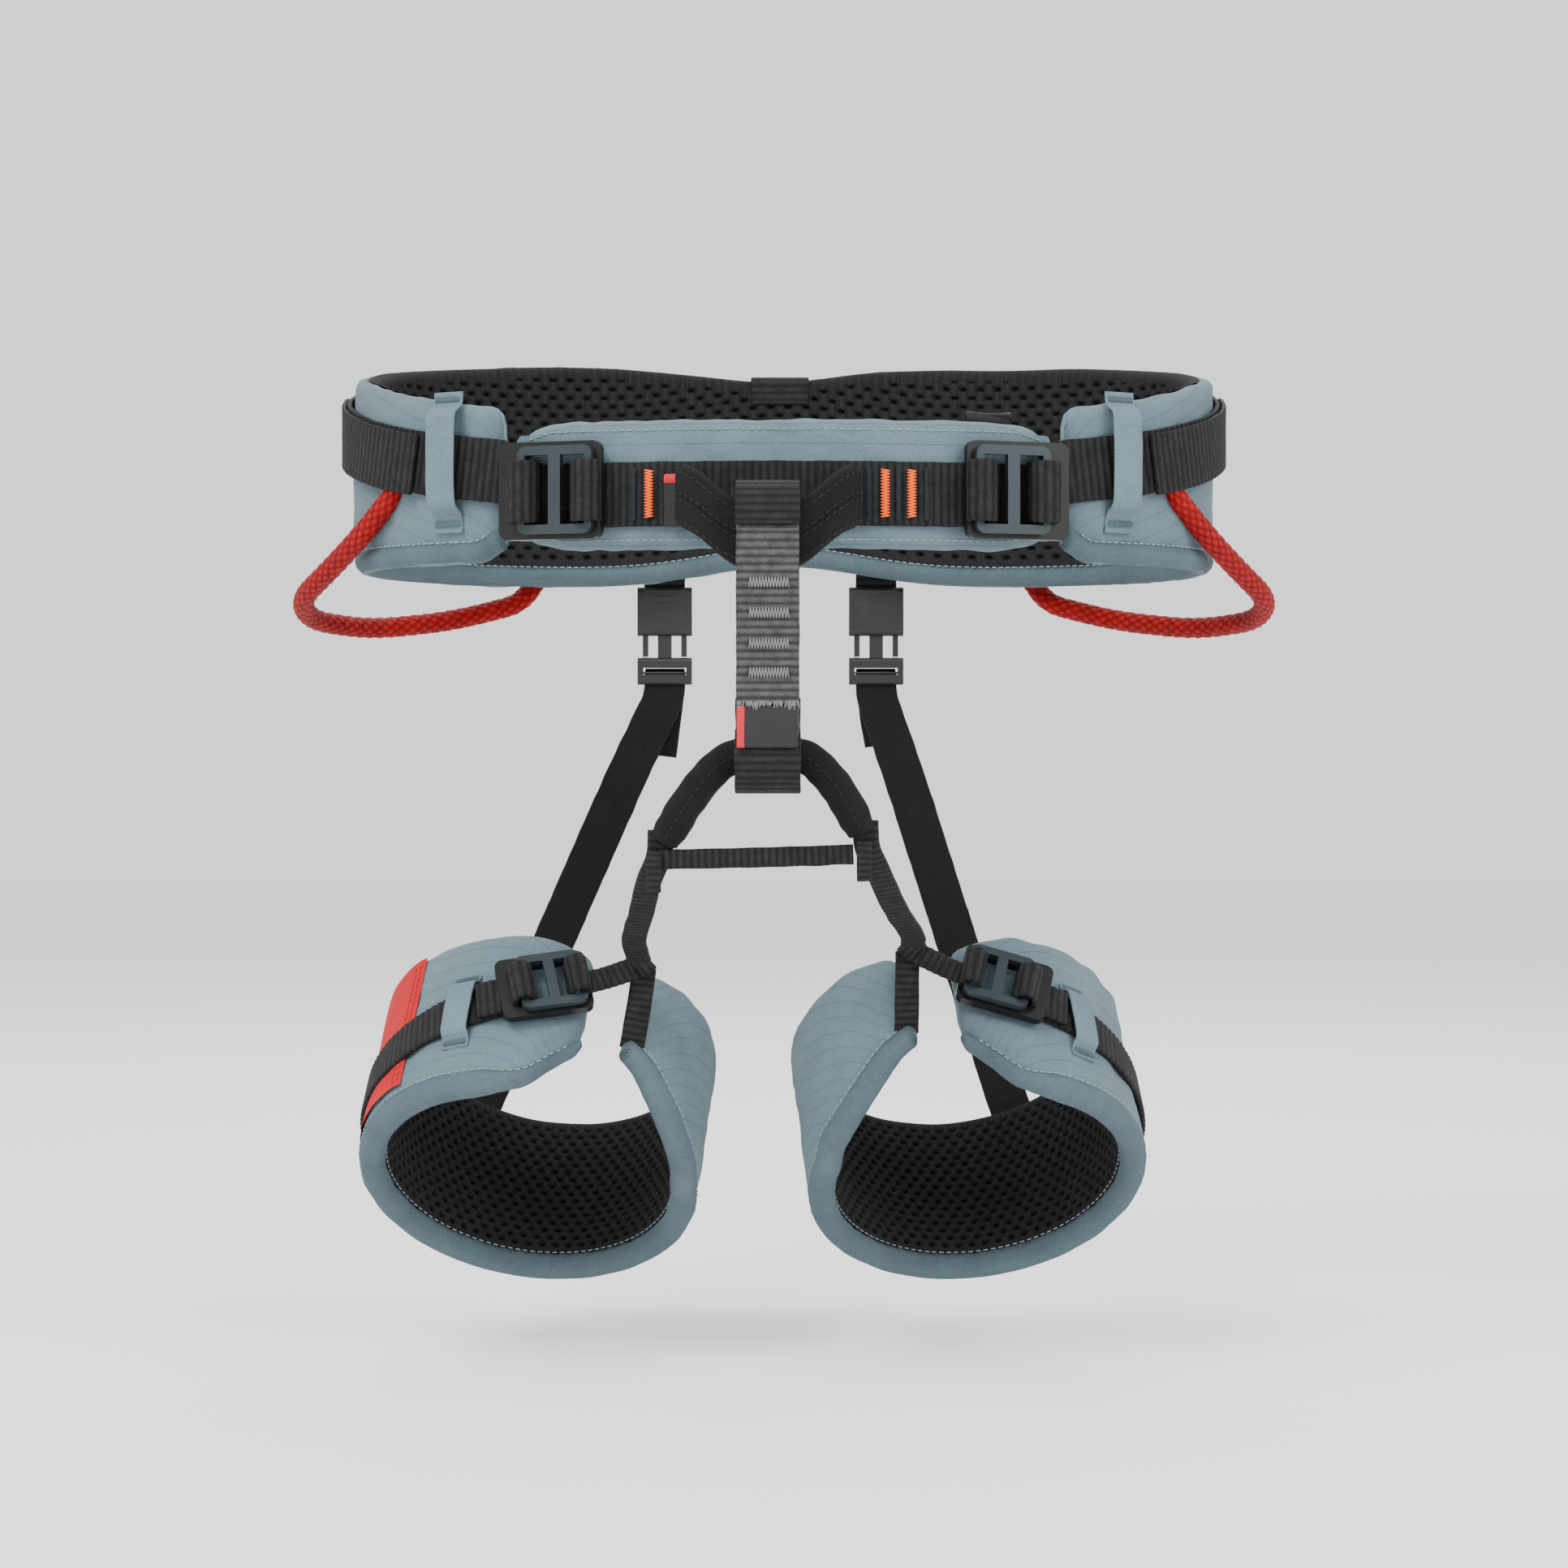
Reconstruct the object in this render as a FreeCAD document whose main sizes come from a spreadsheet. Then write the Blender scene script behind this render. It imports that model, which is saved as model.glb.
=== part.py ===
import FreeCAD, Part
import math
import os
from FreeCAD import Placement, Rotation, Vector

# A sit harness for climbing. +X is to the right as seen from the front, +Y to the rear, +Z up.
# The origin is the centre of the waist opening. Left and right are those of the front view.

DIMENSIONS = {
    "belt_half_width": 138,
    "belt_half_depth": 85,
    "belt_side_radius": 65,
    "belt_end_angle": 26.5,
    "belt_bottom": -17.5,
    "hem_height": 4,
    "lining_thickness": 1.5,
    "foam_thickness": 4.8,
    "shell_thickness": 1.2,
    "band_height": 90,
    "tool_length": 420,
    "front_pad_angle": 23,
    "front_pad_height": 40,
    "front_pad_bottom": -18,
    "webbing_width": 20.4,
    "webbing_thickness": 1.6,
    "webbing_gap": 1.1,
    "webbing_slope": 0.28,
    "webbing_side_z": 28.4,
    "front_webbing_z": -1,
    "keeper_width": 10,
    "keeper_thickness": 1,
    "keeper_bottom": -10,
    "keeper_height": 41,
    "keeper_foot": 5,
    "waist_buckle_angle": 19.6,
    "waist_buckle_width": 35,
    "waist_buckle_height": 31,
    "waist_buckle_thickness": 3,
    "waist_plate_width": 25.5,
    "waist_plate_height": 28,
    "waist_plate_thickness": 2.5,
    "leg_buckle_width": 30,
    "leg_buckle_height": 24,
    "leg_buckle_thickness": 2.6,
    "leg_plate_width": 22,
    "leg_plate_height": 21.5,
    "leg_plate_thickness": 2.2,
    "plate_gap": 0.3,
    "buckle_corner": 3,
    "drop_centre": -5,
    "sleeve_thickness": 4.4,
    "sleeve_wall": 1.1,
    "tie_in_half_span": 29,
    "tie_in_back": -96.5,
    "tie_in_front": -119,
    "tie_in_height": 20.6,
    "tie_in_end_z": -4,
    "tie_in_middle_z": -15.5,
    "belay_width": 19.6,
    "belay_top_z": -3.3,
    "belay_thickness": 3.4,
    "belay_bottom_z": -83.6,
    "belay_bottom_radius": 7.6,
    "lower_sleeve_radius": 4.9,
    "cross_strap_width": 5.5,
    "strap_width": 8,
    "strap_thickness": 2.4,
    "leg_left_x": -83,
    "leg_right_x": 62,
    "leg_y": -5,
    "leg_z": -204,
    "leg_pitch": 41,
    "leg_roll": 8,
    "leg_right_spin": 14,
    "leg_radius": 49,
    "leg_pad_height": 60,
    "leg_pad_bottom": -28,
    "leg_webbing_width": 15,
    "leg_arch_depth": 62,
    "leg_slab_depth": 140,
    "leg_keeper_bottom": -14,
    "leg_keeper_height": 27,
    "leg_keeper_foot": 3,
    "riser_width": 15,
    "riser_thickness": 1.6,
    "riser_half_spacing": 39,
    "riser_left_angle": -154,
    "riser_right_angle": -147,
    "side_buckle_y": 95.5,
    "side_buckle_top": -20,
    "side_buckle_width": 20,
    "side_buckle_thickness": 7,
    "female_height": 18,
    "male_height": 10,
    "male_thickness": 5,
    "tab_height": 36,
    "arm_width": 2,
    "arm_height": 15,
    "gear_loop_radius": 3.6,
}

SIDES = {"left": -1, "right": 1}

doc = FreeCAD.newDocument("climbing_harness")
sheet = doc.addObject("Spreadsheet::Sheet", "dims")
nodes = []


def fill_sheet():
    for row, (alias, value) in enumerate(DIMENSIONS.items(), start=1):
        sheet.set(f"A{row}", alias)
        sheet.set(f"B{row}", str(value))
        sheet.setAlias(f"B{row}", alias)
    doc.recompute()


def size(alias):
    """A driving dimension, read back from the sheet."""
    return float(sheet.get(alias))


def node(item, placement=None):
    """Marks a document object as a sub-part, which is exported under its label."""
    item.Label = item.Name
    if placement is not None:
        item.Placement = placement
    nodes.append(item)
    return item


# ---------------------------------------------------------------- general shapes


def feature(name, shape):
    item = doc.addObject("Part::Feature", name)
    item.Shape = shape
    return item


def extrusion(name, face, direction, length, symmetric=False):
    """A face pushed along a direction by a length from the sheet."""
    item = doc.addObject("Part::Extrusion", name)
    item.Base = feature(name + "_profile", face)
    item.DirMode = "Custom"
    item.Dir = direction
    item.setExpression("LengthFwd", length)
    item.Symmetric = symmetric
    item.Solid = True
    return item


def boolean(kind, name, base, tool):
    """kind is Cut or Common."""
    item = doc.addObject("Part::" + kind, name)
    item.Base = base
    item.Tool = tool
    return item


def fused(name, items):
    item = doc.addObject("Part::MultiFuse", name)
    item.Shapes = items
    return item


def block(name, lengths, centre=(0, 0, 0)):
    """A box about a centre. A length is an expression on the sheet, or a number."""
    item = doc.addObject("Part::Box", name)
    for side, axis, length, middle in zip(("Length", "Width", "Height"), "xyz", lengths, centre):
        item.setExpression(side, str(length))
        item.setExpression(f".Placement.Base.{axis}", f"{middle} - ({length}) / 2")
    return item


def rounded_block(name, lengths, radius, axis, centre=(0, 0, 0)):
    """A box whose four edges along an axis are rounded."""
    base = block(name + "_box", lengths, centre)
    base.recompute()
    rounded = doc.addObject("Part::Fillet", name)
    rounded.Base = base
    edges = enumerate(base.Shape.Edges, start=1)
    rounded.Edges = [(i, radius, radius) for i, e in edges if is_along(e, axis)]
    return rounded


def is_along(edge, axis):
    run = edge.Vertexes[1].Point - edge.Vertexes[0].Point
    return run.cross(axis).Length < 1e-6


def arc(first, middle, last):
    return Part.Arc(first, middle, last).toShape()


def face_of(edges):
    return Part.Face(Part.Wire(Part.__sortEdges__(edges)))


def polygon(points):
    return Part.Face(Part.makePolygon(points + points[:1]))


def ribbon(points, width, thickness, sides):
    """A flat strap through points, with the direction across it given for each."""
    sections = []
    for i, point in enumerate(points):
        run = points[min(i + 1, len(points) - 1)] - points[max(i - 1, 0)]
        normal = run.cross(sides[i]).normalize()
        across = normal.cross(run).normalize() * (width / 2)
        normal = normal * (thickness / 2)
        corners = [
            point + across + normal,
            point - across + normal,
            point - across - normal,
            point + across - normal,
        ]
        sections.append(Part.makePolygon(corners + corners[:1]))
    return Part.makeLoft(sections, True, True)


def rounded_route(points):
    """Straight runs joined by tangent arcs, each as large as its two runs allow."""
    edges = []
    start = points[0]
    for before, corner, after in zip(points, points[1:], points[2:]):
        run_in, run_out = corner - before, after - corner
        reach = 0.45 * min(run_in.Length, run_out.Length)
        run_in.normalize()
        run_out.normalize()
        turn = run_in.getAngle(run_out)
        radius = reach / math.tan(turn / 2)
        inward = (run_out - run_in).normalize()
        centre = corner + inward * (radius / math.cos(turn / 2))
        first, last = corner - run_in * reach, corner + run_out * reach
        edges.append(Part.makeLine(start, first))
        edges.append(arc(first, centre - inward * radius, last))
        start = last
    edges.append(Part.makeLine(start, points[-1]))
    return Part.Wire(edges)


def tube(points, radius):
    """A round bar along a rounded route."""
    circle = Part.Circle(points[0], points[1] - points[0], radius).toShape()
    return rounded_route(points).makePipeShell([Part.Wire([circle])], True, True)


# ---------------------------------------------------------------- the belt's oval


def oval():
    """Side arc's centre, large arc's centre and radius, and where they meet in degrees."""
    reach = size("belt_half_width") - size("belt_side_radius")
    rise = size("belt_half_depth") - size("belt_side_radius")
    centre = (reach**2 - rise**2) / (2 * rise)
    return reach, centre, size("belt_half_depth") + centre, math.degrees(math.atan2(reach, centre))


def oval_point(angle, offset, z=0.0):
    """The point whose outward normal is at that angle from the front, turning to the right."""
    reach, centre, radius, meet = oval()
    angle = (angle + 180) % 360 - 180
    if abs(angle) <= meet:
        middle = Vector(0, centre, z)
    elif abs(angle) < 180 - meet:
        middle = Vector(math.copysign(reach, angle), 0, z)
        radius = size("belt_side_radius")
    else:
        middle = Vector(0, -centre, z)
    turn = math.radians(angle)
    return middle + Vector(math.sin(turn), -math.cos(turn), 0) * (radius + offset)


def oval_edges(first, last, offset, z):
    meet = oval()[3]
    joins = [-180 + meet, -meet, meet, 180 - meet, 180 + meet, 360 - meet]
    stops = [first] + [j for j in joins if first < j < last] + [last]
    return [
        arc(*(oval_point(a, offset, z) for a in (start, (start + end) / 2, end)))
        for start, end in zip(stops, stops[1:])
    ]


def oval_face(first, last, inner, outer, z):
    """The plan of a layer of the belt between two angles and two offsets."""
    edges = oval_edges(first, last, inner, z) + oval_edges(first, last, outer, z)
    for angle in (first, last):
        edges.append(Part.makeLine(oval_point(angle, inner, z), oval_point(angle, outer, z)))
    return face_of(edges)


def layers():
    """Offsets of the lining, the foam and the shell from the belt's inner face."""
    lining = size("lining_thickness")
    foam = lining + size("foam_thickness")
    return {"lining": (0, lining), "foam": (lining, foam), "shell": (foam, foam + size("shell_thickness"))}


def belt_outside():
    return layers()["shell"][1]


def webbing_offset():
    """Offset of the webbing's inner face from the belt's inner face."""
    return belt_outside() + size("webbing_gap")


def belt_side_profile():
    """The belt from the side: low at the front, high at the rear."""
    top = [(-110, 22), (-73, 27), (-58, 32), (0, 46), (45, 54), (80, 58.5), (110, 57)]
    curve = Part.BSplineCurve()
    curve.interpolate([Vector(0, y, z) for y, z in top])
    low = size("belt_bottom")
    ends = [Vector(0, top[-1][0], top[-1][1]), Vector(0, top[-1][0], low)]
    ends += [Vector(0, top[0][0], low), Vector(0, top[0][0], top[0][1])]
    return face_of([curve.toShape()] + [Part.makeLine(a, b) for a, b in zip(ends, ends[1:])])


def make_belt():
    first = size("belt_end_angle")
    last = 360 - first
    low = size("belt_bottom")
    across = Vector(1, 0, 0)
    up = Vector(0, 0, 1)
    outline = extrusion("belt_outline", belt_side_profile(), across, "dims.tool_length", True)
    for layer, (inner, outer) in layers().items():
        face = oval_face(first, last, inner, outer, low)
        ring = extrusion(f"belt_{layer}_ring", face, up, "dims.band_height")
        node(boolean("Common", f"belt_{layer}", ring, outline))
    hem = oval_face(first, last, 0, belt_outside(), low - size("hem_height"))
    node(extrusion("belt_lower_binding", hem, up, "dims.hem_height"))


def make_front_pad():
    half = size("front_pad_angle")
    offsets = layers()
    low = size("front_pad_bottom")
    pad = oval_face(-half, half, 0, offsets["foam"][1], low)
    node(extrusion("front_pad_lining", pad, Vector(0, 0, 1), "dims.front_pad_height"))
    cover = oval_face(-half, half, *offsets["shell"], low)
    node(extrusion("front_pad_shell", cover, Vector(0, 0, 1), "dims.front_pad_height"))


# ---------------------------------------------------------------- waist webbing


def sloping_band():
    """A band that rises to the rear, from the side."""
    half, slope, middle = size("webbing_width") / 2, size("webbing_slope"), size("webbing_side_z")
    reach = 110
    corners = [(-reach, -half), (reach, -half), (reach, half), (-reach, half)]
    return polygon([Vector(0, y, middle + slope * y + rise) for y, rise in corners])


def make_waist_webbing():
    inner = webbing_offset()
    outer = inner + size("webbing_thickness")
    band = extrusion("waist_webbing_band", sloping_band(), Vector(1, 0, 0), "dims.tool_length", True)
    start, end = 24.2, 108
    for side, sign in SIDES.items():
        angles = sorted((sign * start, sign * end))
        face = oval_face(*angles, inner, outer, size("belt_bottom"))
        ring = extrusion(f"waist_webbing_{side}_ring", face, Vector(0, 0, 1), "dims.band_height")
        node(boolean("Common", f"waist_webbing_{side}", ring, band))
    low = size("front_webbing_z") - size("webbing_width") / 2
    front = oval_face(-start + 0.2, start - 0.2, inner, outer, low)
    node(extrusion("front_webbing", front, Vector(0, 0, 1), "dims.webbing_width"))


def make_keepers():
    """Elastic bridges over the waist webbing, sewn to the belt above and below it."""
    middle = 30
    half = math.degrees(size("keeper_width") / 2 / (oval()[2] + webbing_offset()))
    top_of_webbing = webbing_offset() + size("webbing_thickness") + 0.4
    hidden = 3
    foot = size("keeper_foot")
    for side, sign in SIDES.items():
        angles = (sign * middle - half, sign * middle + half)
        wide = (angles[0] - half, angles[1] + half)
        whole = oval_face(*angles, belt_outside() + 0.2, top_of_webbing + size("keeper_thickness"),
                          size("keeper_bottom"))
        bridge = extrusion(f"keeper_{side}_block", whole, Vector(0, 0, 1), "dims.keeper_height")
        room = oval_face(*wide, belt_outside() - hidden, top_of_webbing, size("keeper_bottom") + foot)
        hollow = extrusion(f"keeper_{side}_room", room, Vector(0, 0, 1),
                           "dims.keeper_height - 2 * dims.keeper_foot")
        node(boolean("Cut", f"waist_keeper_{side}", bridge, hollow))


# ---------------------------------------------------------------- two-piece buckles


def buckle_base(name, prefix, inward, placement):
    """A flat frame with a broad outer bar. inward is the sign of the X side nearer the middle."""
    corner = size("buckle_corner")
    lengths = [f"dims.{prefix}_buckle_{word}" for word in ("width", "thickness", "height")]
    along = Vector(0, 1, 0)
    behind = f"-dims.{prefix}_buckle_thickness / 2"
    body = rounded_block(name + "_frame", lengths, corner, along, (0, behind, 0))
    window = rounded_block(
        name + "_window",
        [f"dims.{prefix}_buckle_width * 0.66", 20, f"dims.{prefix}_buckle_height - 8"],
        corner / 2,
        along,
        (f"{inward} * dims.{prefix}_buckle_width * 0.085", 0, 0),
    )
    return node(boolean("Cut", name, body, window), placement)


def buckle_plate(name, prefix, inward, placement):
    """The plate that slides on the base: a frame with a bar across its middle."""
    middle = f"{inward} * dims.{prefix}_buckle_width * 0.08"
    depth = f"dims.{prefix}_buckle_thickness + dims.plate_gap + dims.{prefix}_plate_thickness / 2"
    lengths = [f"dims.{prefix}_plate_{word}" for word in ("width", "thickness", "height")]
    along = Vector(0, 1, 0)
    body = rounded_block(name + "_frame", lengths, size("buckle_corner"), along,
                         (middle, f"-({depth})", 0))
    share = f"dims.{prefix}_plate_width"
    windows = [
        block(f"{name}_window_{i}", [f"{share} * 0.32", 30, f"dims.{prefix}_plate_height - 6"],
              (f"{middle} + {share} * {step}", 0, 0))
        for i, step in enumerate((-0.24, 0.24))
    ]
    return node(boolean("Cut", name, body, fused(name + "_windows", windows)), placement)


def wrap_profile(start, end, inward, z):
    """Webbing that comes up through a window at start, over a bar, and down outside it at end."""
    thick, top, low, outside = size("webbing_thickness"), 7.8, 0.2, 3.5
    toward = math.copysign(thick, end - start)
    corners = [(start, low), (start, top), (end, top), (end, outside)]
    corners += [(end - toward, outside), (end - toward, top - thick)]
    corners += [(start + toward, top - thick), (start + toward, low)]
    return polygon([Vector(inward * u, -v, z) for u, v in corners])


def make_waist_buckles():
    for side, sign in SIDES.items():
        angle = sign * size("waist_buckle_angle")
        stand_off = webbing_offset() + size("webbing_thickness") + 0.5
        height = size("front_webbing_z") + 1.5
        place = Placement(oval_point(angle, stand_off, height), Rotation(Vector(0, 0, 1), angle))
        buckle_base(f"waist_buckle_{side}", "waist", -sign, place)
        buckle_plate(f"waist_plate_{side}", "waist", -sign, place)
        low = -size("webbing_width") / 2 - 0.5
        wraps = [
            extrusion(f"waist_wrap_{side}_{i}", wrap_profile(start, end, -sign, low),
                      Vector(0, 0, 1), "dims.webbing_width")
            for i, (start, end) in enumerate([(-5.0, -12.3), (9.4, 17.4)])
        ]
        node(fused(f"waist_wrap_{side}", wraps), place)


# ---------------------------------------------------------------- tie-in points and belay loop


def tie_in_plan(inset, z):
    """The upper tie-in from above: a bow that stands off the front of the belt."""
    middle = size("drop_centre")
    half, back, front = size("tie_in_half_span"), size("tie_in_back"), size("tie_in_front")
    depth = back - front
    radius = (half**2 + depth**2) / (2 * depth)
    centre = Vector(middle, front + radius, z)
    swing = math.asin(half / radius)
    wall = size("sleeve_thickness") / 2 - inset

    def bow(distance):
        ends = [centre + Vector(math.sin(a), -math.cos(a), 0) * distance for a in (-swing, 0, swing)]
        return arc(*ends), ends

    outer, outer_ends = bow(radius + wall)
    inner, inner_ends = bow(radius - wall)
    closing = [Part.makeLine(outer_ends[i], inner_ends[i]) for i in (0, 2)]
    return face_of([outer, inner] + closing)


def tie_in_front_view(inset):
    """The upper tie-in from the front: a shallow U."""
    middle, reach = size("drop_centre"), size("tie_in_half_span") + 8
    half = size("tie_in_height") / 2 - inset
    y = -90
    edges = []
    for rise in (half, -half):
        ends = size("tie_in_end_z") + rise
        low = size("tie_in_middle_z") + rise
        points = [Vector(middle - reach, y, ends), Vector(middle, y, low), Vector(middle + reach, y, ends)]
        edges.append(arc(*points))
    for x in (middle - reach, middle + reach):
        edges.append(Part.makeLine(Vector(x, y, size("tie_in_end_z") + half),
                                   Vector(x, y, size("tie_in_end_z") - half)))
    return face_of(edges)


def tie_in_solid(name, inset):
    bow = extrusion(name + "_bow", tie_in_plan(inset, -40), Vector(0, 0, 1), "dims.band_height")
    outline = extrusion(name + "_outline", tie_in_front_view(inset), Vector(0, -1, 0), "dims.tool_length")
    return boolean("Common", name, bow, outline)


def make_upper_tie_in():
    wall = size("sleeve_wall")
    outside = tie_in_solid("upper_tie_in_outside", 0)
    room = tie_in_solid("upper_tie_in_room", wall)
    node(boolean("Cut", "upper_tie_in_sleeve", outside, room))
    node(tie_in_solid("upper_tie_in_webbing", wall + 0.1))


def make_belay_loop():
    """A sewn ring of webbing, narrow round the upper tie-in and round at the bottom."""
    front, back, top, corner = -122.5, -113.9, size("belay_top_z"), 2.4
    x = size("drop_centre") - size("belay_width") / 2
    low, radius = size("belay_bottom_z"), size("belay_bottom_radius")
    waist = -62
    middle = (front + back) / 2

    def at(y, z):
        return Vector(x, y, z)

    cut = corner * (1 - math.sqrt(0.5))
    edges = [
        Part.makeLine(at(front, waist), at(front, top - corner)),
        arc(at(front, top - corner), at(front + cut, top - cut), at(front + corner, top)),
        Part.makeLine(at(front + corner, top), at(back - corner, top)),
        arc(at(back - corner, top), at(back - cut, top - cut), at(back, top - corner)),
        Part.makeLine(at(back, top - corner), at(back, waist)),
        Part.makeLine(at(back, waist), at(middle + radius, low)),
        arc(at(middle + radius, low), at(middle, low - radius), at(middle - radius, low)),
        Part.makeLine(at(middle - radius, low), at(front, waist)),
    ]
    inside = face_of(edges)
    outside = inside.makeOffset2D(size("belay_thickness"))
    ring = outside.cut(inside).Faces[0]
    node(extrusion("belay_loop", ring, Vector(1, 0, 0), "dims.belay_width"))


def lower_route():
    """The lower tie-in's centre line, an arch with a flat crown."""
    return [
        Vector(-37, -110.5, -110),
        Vector(-28.5, -115.5, -96),
        Vector(-17, -118.2, -83),
        Vector(7, -118.2, -83),
        Vector(17, -115.5, -94),
        Vector(24, -110.5, -107),
    ]


def make_lower_tie_in():
    radius = size("lower_sleeve_radius")
    wall = size("sleeve_wall")
    outside = feature("lower_tie_in_outside", tube(lower_route(), radius))
    room = feature("lower_tie_in_room", tube(lower_route(), radius - wall))
    node(boolean("Cut", "lower_tie_in_sleeve", outside, room))
    node(feature("lower_tie_in_webbing", tube(lower_route(), radius - wall - 0.1)))


def make_cross_strap():
    middle, length = -7.5, 56
    strap = block("cross_strap", [length, "dims.webbing_thickness", "dims.cross_strap_width"])
    strap.setExpression(".Placement.Base.x", f"{middle} - {length} / 2")
    strap.setExpression(".Placement.Base.y", "-111.5")
    strap.setExpression(".Placement.Base.z", "-118.5")
    node(strap)


# ---------------------------------------------------------------- leg loops


def leg_place(side):
    """Where a leg loop's own frame stands: its Z is the loop's axis, its -Y the front."""
    sign = SIDES[side]
    base = Vector(size(f"leg_{side}_x"), size("leg_y"), size("leg_z"))
    roll = Rotation(Vector(0, 1, 0), -sign * size("leg_roll"))
    pitch = Rotation(Vector(1, 0, 0), -size("leg_pitch"))
    spin = Rotation(Vector(0, 0, 1), size("leg_right_spin") if sign > 0 else 0)
    return Placement(base, roll * pitch * spin)


def leg_point(side, angle, radius, z):
    """A point of a leg loop's own frame. The angle turns from the front to the middle."""
    turn = math.radians(angle)
    return Vector(-SIDES[side] * math.sin(turn) * radius, -math.cos(turn) * radius, z)


def leg_face(side, first, last, inner, outer, z):
    """A band of a leg loop, end on."""
    middle = (first + last) / 2
    edges = []
    for radius in (inner, outer):
        edges.append(arc(*(leg_point(side, a, radius, z) for a in (first, (first + middle) / 2, middle))))
        edges.append(arc(*(leg_point(side, a, radius, z) for a in (middle, (last + middle) / 2, last))))
    for angle in (first, last):
        edges.append(Part.makeLine(leg_point(side, angle, inner, z), leg_point(side, angle, outer, z)))
    return face_of(edges)


def leg_layers():
    return {name: (size("leg_radius") + inner, size("leg_radius") + outer)
            for name, (inner, outer) in layers().items()}


def leg_outside():
    return leg_layers()["shell"][1]


def front_arch(side, rise):
    """What the pad's two ends leave free below them, from the front."""
    outline = [(-14, -40), (-8, -28), (14, -5), (28, 0), (48, -21), (60, -40)]
    points = [Vector(-SIDES[side] * x, -70, z + rise) for x, z in outline]
    return polygon(points)


def make_leg_pad(side):
    """Three layers and a hem, which follows the arch at the front."""
    place = leg_place(side)
    inner_end, outer_end = 30, 374
    up = Vector(0, 0, 1)
    hem = size("hem_height")
    low = size("leg_pad_bottom")
    forward = Vector(0, 1, 0)
    arch = extrusion(f"leg_arch_{side}", front_arch(side, 0), forward, "dims.leg_arch_depth")
    raised = extrusion(f"leg_raised_arch_{side}", front_arch(side, hem), forward, "dims.leg_arch_depth")
    for layer, (inner, outer) in leg_layers().items():
        face = leg_face(side, inner_end, outer_end, inner, outer, low)
        ring = extrusion(f"leg_{layer}_{side}_ring", face, up, "dims.leg_pad_height")
        node(boolean("Cut", f"leg_{layer}_{side}", ring, raised), place)
    whole = leg_face(side, inner_end, outer_end, size("leg_radius"), leg_outside(), low - hem)
    flat = extrusion(f"leg_flat_hem_{side}", whole, up, "dims.hem_height")
    tall = extrusion(f"leg_tall_hem_{side}", whole, up, "dims.leg_pad_height")
    front = boolean("Common", f"leg_front_hem_{side}", tall, raised)
    edge = boolean("Cut", f"leg_edge_{side}", fused(f"leg_hems_{side}", [flat, front]), arch)
    node(feature(f"leg_binding_{side}", recomputed(edge)), place)


def recomputed(item):
    doc.recompute()
    return Part.makeSolid(item.Shape.Shells[0]) if len(item.Shape.Shells) == 1 else item.Shape.copy()


def leg_band(side, name, first, last, inner, outer):
    """A strap round the leg loop that rises to the front, 15 mm wide."""
    low = size("leg_pad_bottom")
    face = leg_face(side, first, last, inner, outer, low)
    ring = extrusion(name + "_ring", face, Vector(0, 0, 1), "dims.leg_pad_height")
    half = size("leg_webbing_width") / 2
    slope, middle, reach = 0.25, 6.5, 70
    corners = [(-reach, -half), (reach, -half), (reach, half), (-reach, half)]
    outline = [Vector(-SIDES[side] * x, 70, middle + slope * x + rise) for x, rise in corners]
    slab = extrusion(name + "_slab", polygon(outline), Vector(0, -1, 0), "dims.leg_slab_depth")
    return node(boolean("Common", name, ring, slab), leg_place(side))


def make_leg_webbing(side):
    inner = leg_outside() + 0.8
    outer = inner + size("webbing_thickness")
    leg_band(side, f"leg_webbing_{side}", 235, 349, inner, outer)
    middle, half = 331, 4.4
    low, foot = size("leg_keeper_bottom"), size("leg_keeper_foot")
    whole = leg_face(side, middle - half, middle + half, leg_outside() + 0.2,
                     outer + 0.3 + size("keeper_thickness"), low)
    bridge = extrusion(f"leg_keeper_{side}_block", whole, Vector(0, 0, 1), "dims.leg_keeper_height")
    room = leg_face(side, middle - 2 * half, middle + 2 * half, leg_outside() - 3, outer + 0.3, low + foot)
    hollow = extrusion(f"leg_keeper_{side}_room", room, Vector(0, 0, 1),
                       "dims.leg_keeper_height - 2 * dims.leg_keeper_foot")
    node(boolean("Cut", f"leg_keeper_{side}", bridge, hollow), leg_place(side))


def leg_buckle_place(side):
    sign = SIDES[side]
    stand_off = leg_outside() + 0.8 + size("webbing_thickness") + 0.6
    spot = leg_point(side, -2, stand_off, 7)
    turn = Rotation(Vector(0, 0, 1), sign * 2)
    tilt = Rotation(Vector(0, 1, 0), sign * 18)
    return leg_place(side) * Placement(spot, turn * tilt)


def make_leg_buckle(side):
    place = leg_buckle_place(side)
    buckle_base(f"leg_buckle_{side}", "leg", -SIDES[side], place)
    buckle_plate(f"leg_plate_{side}", "leg", -SIDES[side], place)


def junction(side):
    """Where a leg strap meets the leg loop's two ends, in the leg loop's own frame."""
    return Vector(-SIDES[side] * 28, -63, 19)


def make_leg_branch(side):
    """The short straps from the junction to the buckle and to the inner end of the pad."""
    toward = -SIDES[side]
    meet = junction(side)
    width, thick = size("strap_width"), size("strap_thickness")
    to_buckle = [Vector(toward * 16.5, -62, 12.5), Vector(toward * 21, -62.5, 15), meet]
    to_pad = [meet + Vector(toward * 3.2, 1, -6), Vector(toward * 32, -59.5, 9), Vector(toward * 32, -57, 3)]
    across = [Vector(-0.3 * toward, 0, 1)] * 3
    flat = [Vector(1, 0, 0)] * 3
    straps = [ribbon(to_buckle, width, thick, across), ribbon(to_pad, width, thick, flat)]
    node(feature(f"leg_branch_{side}", Part.makeCompound(straps)), leg_place(side))


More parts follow.
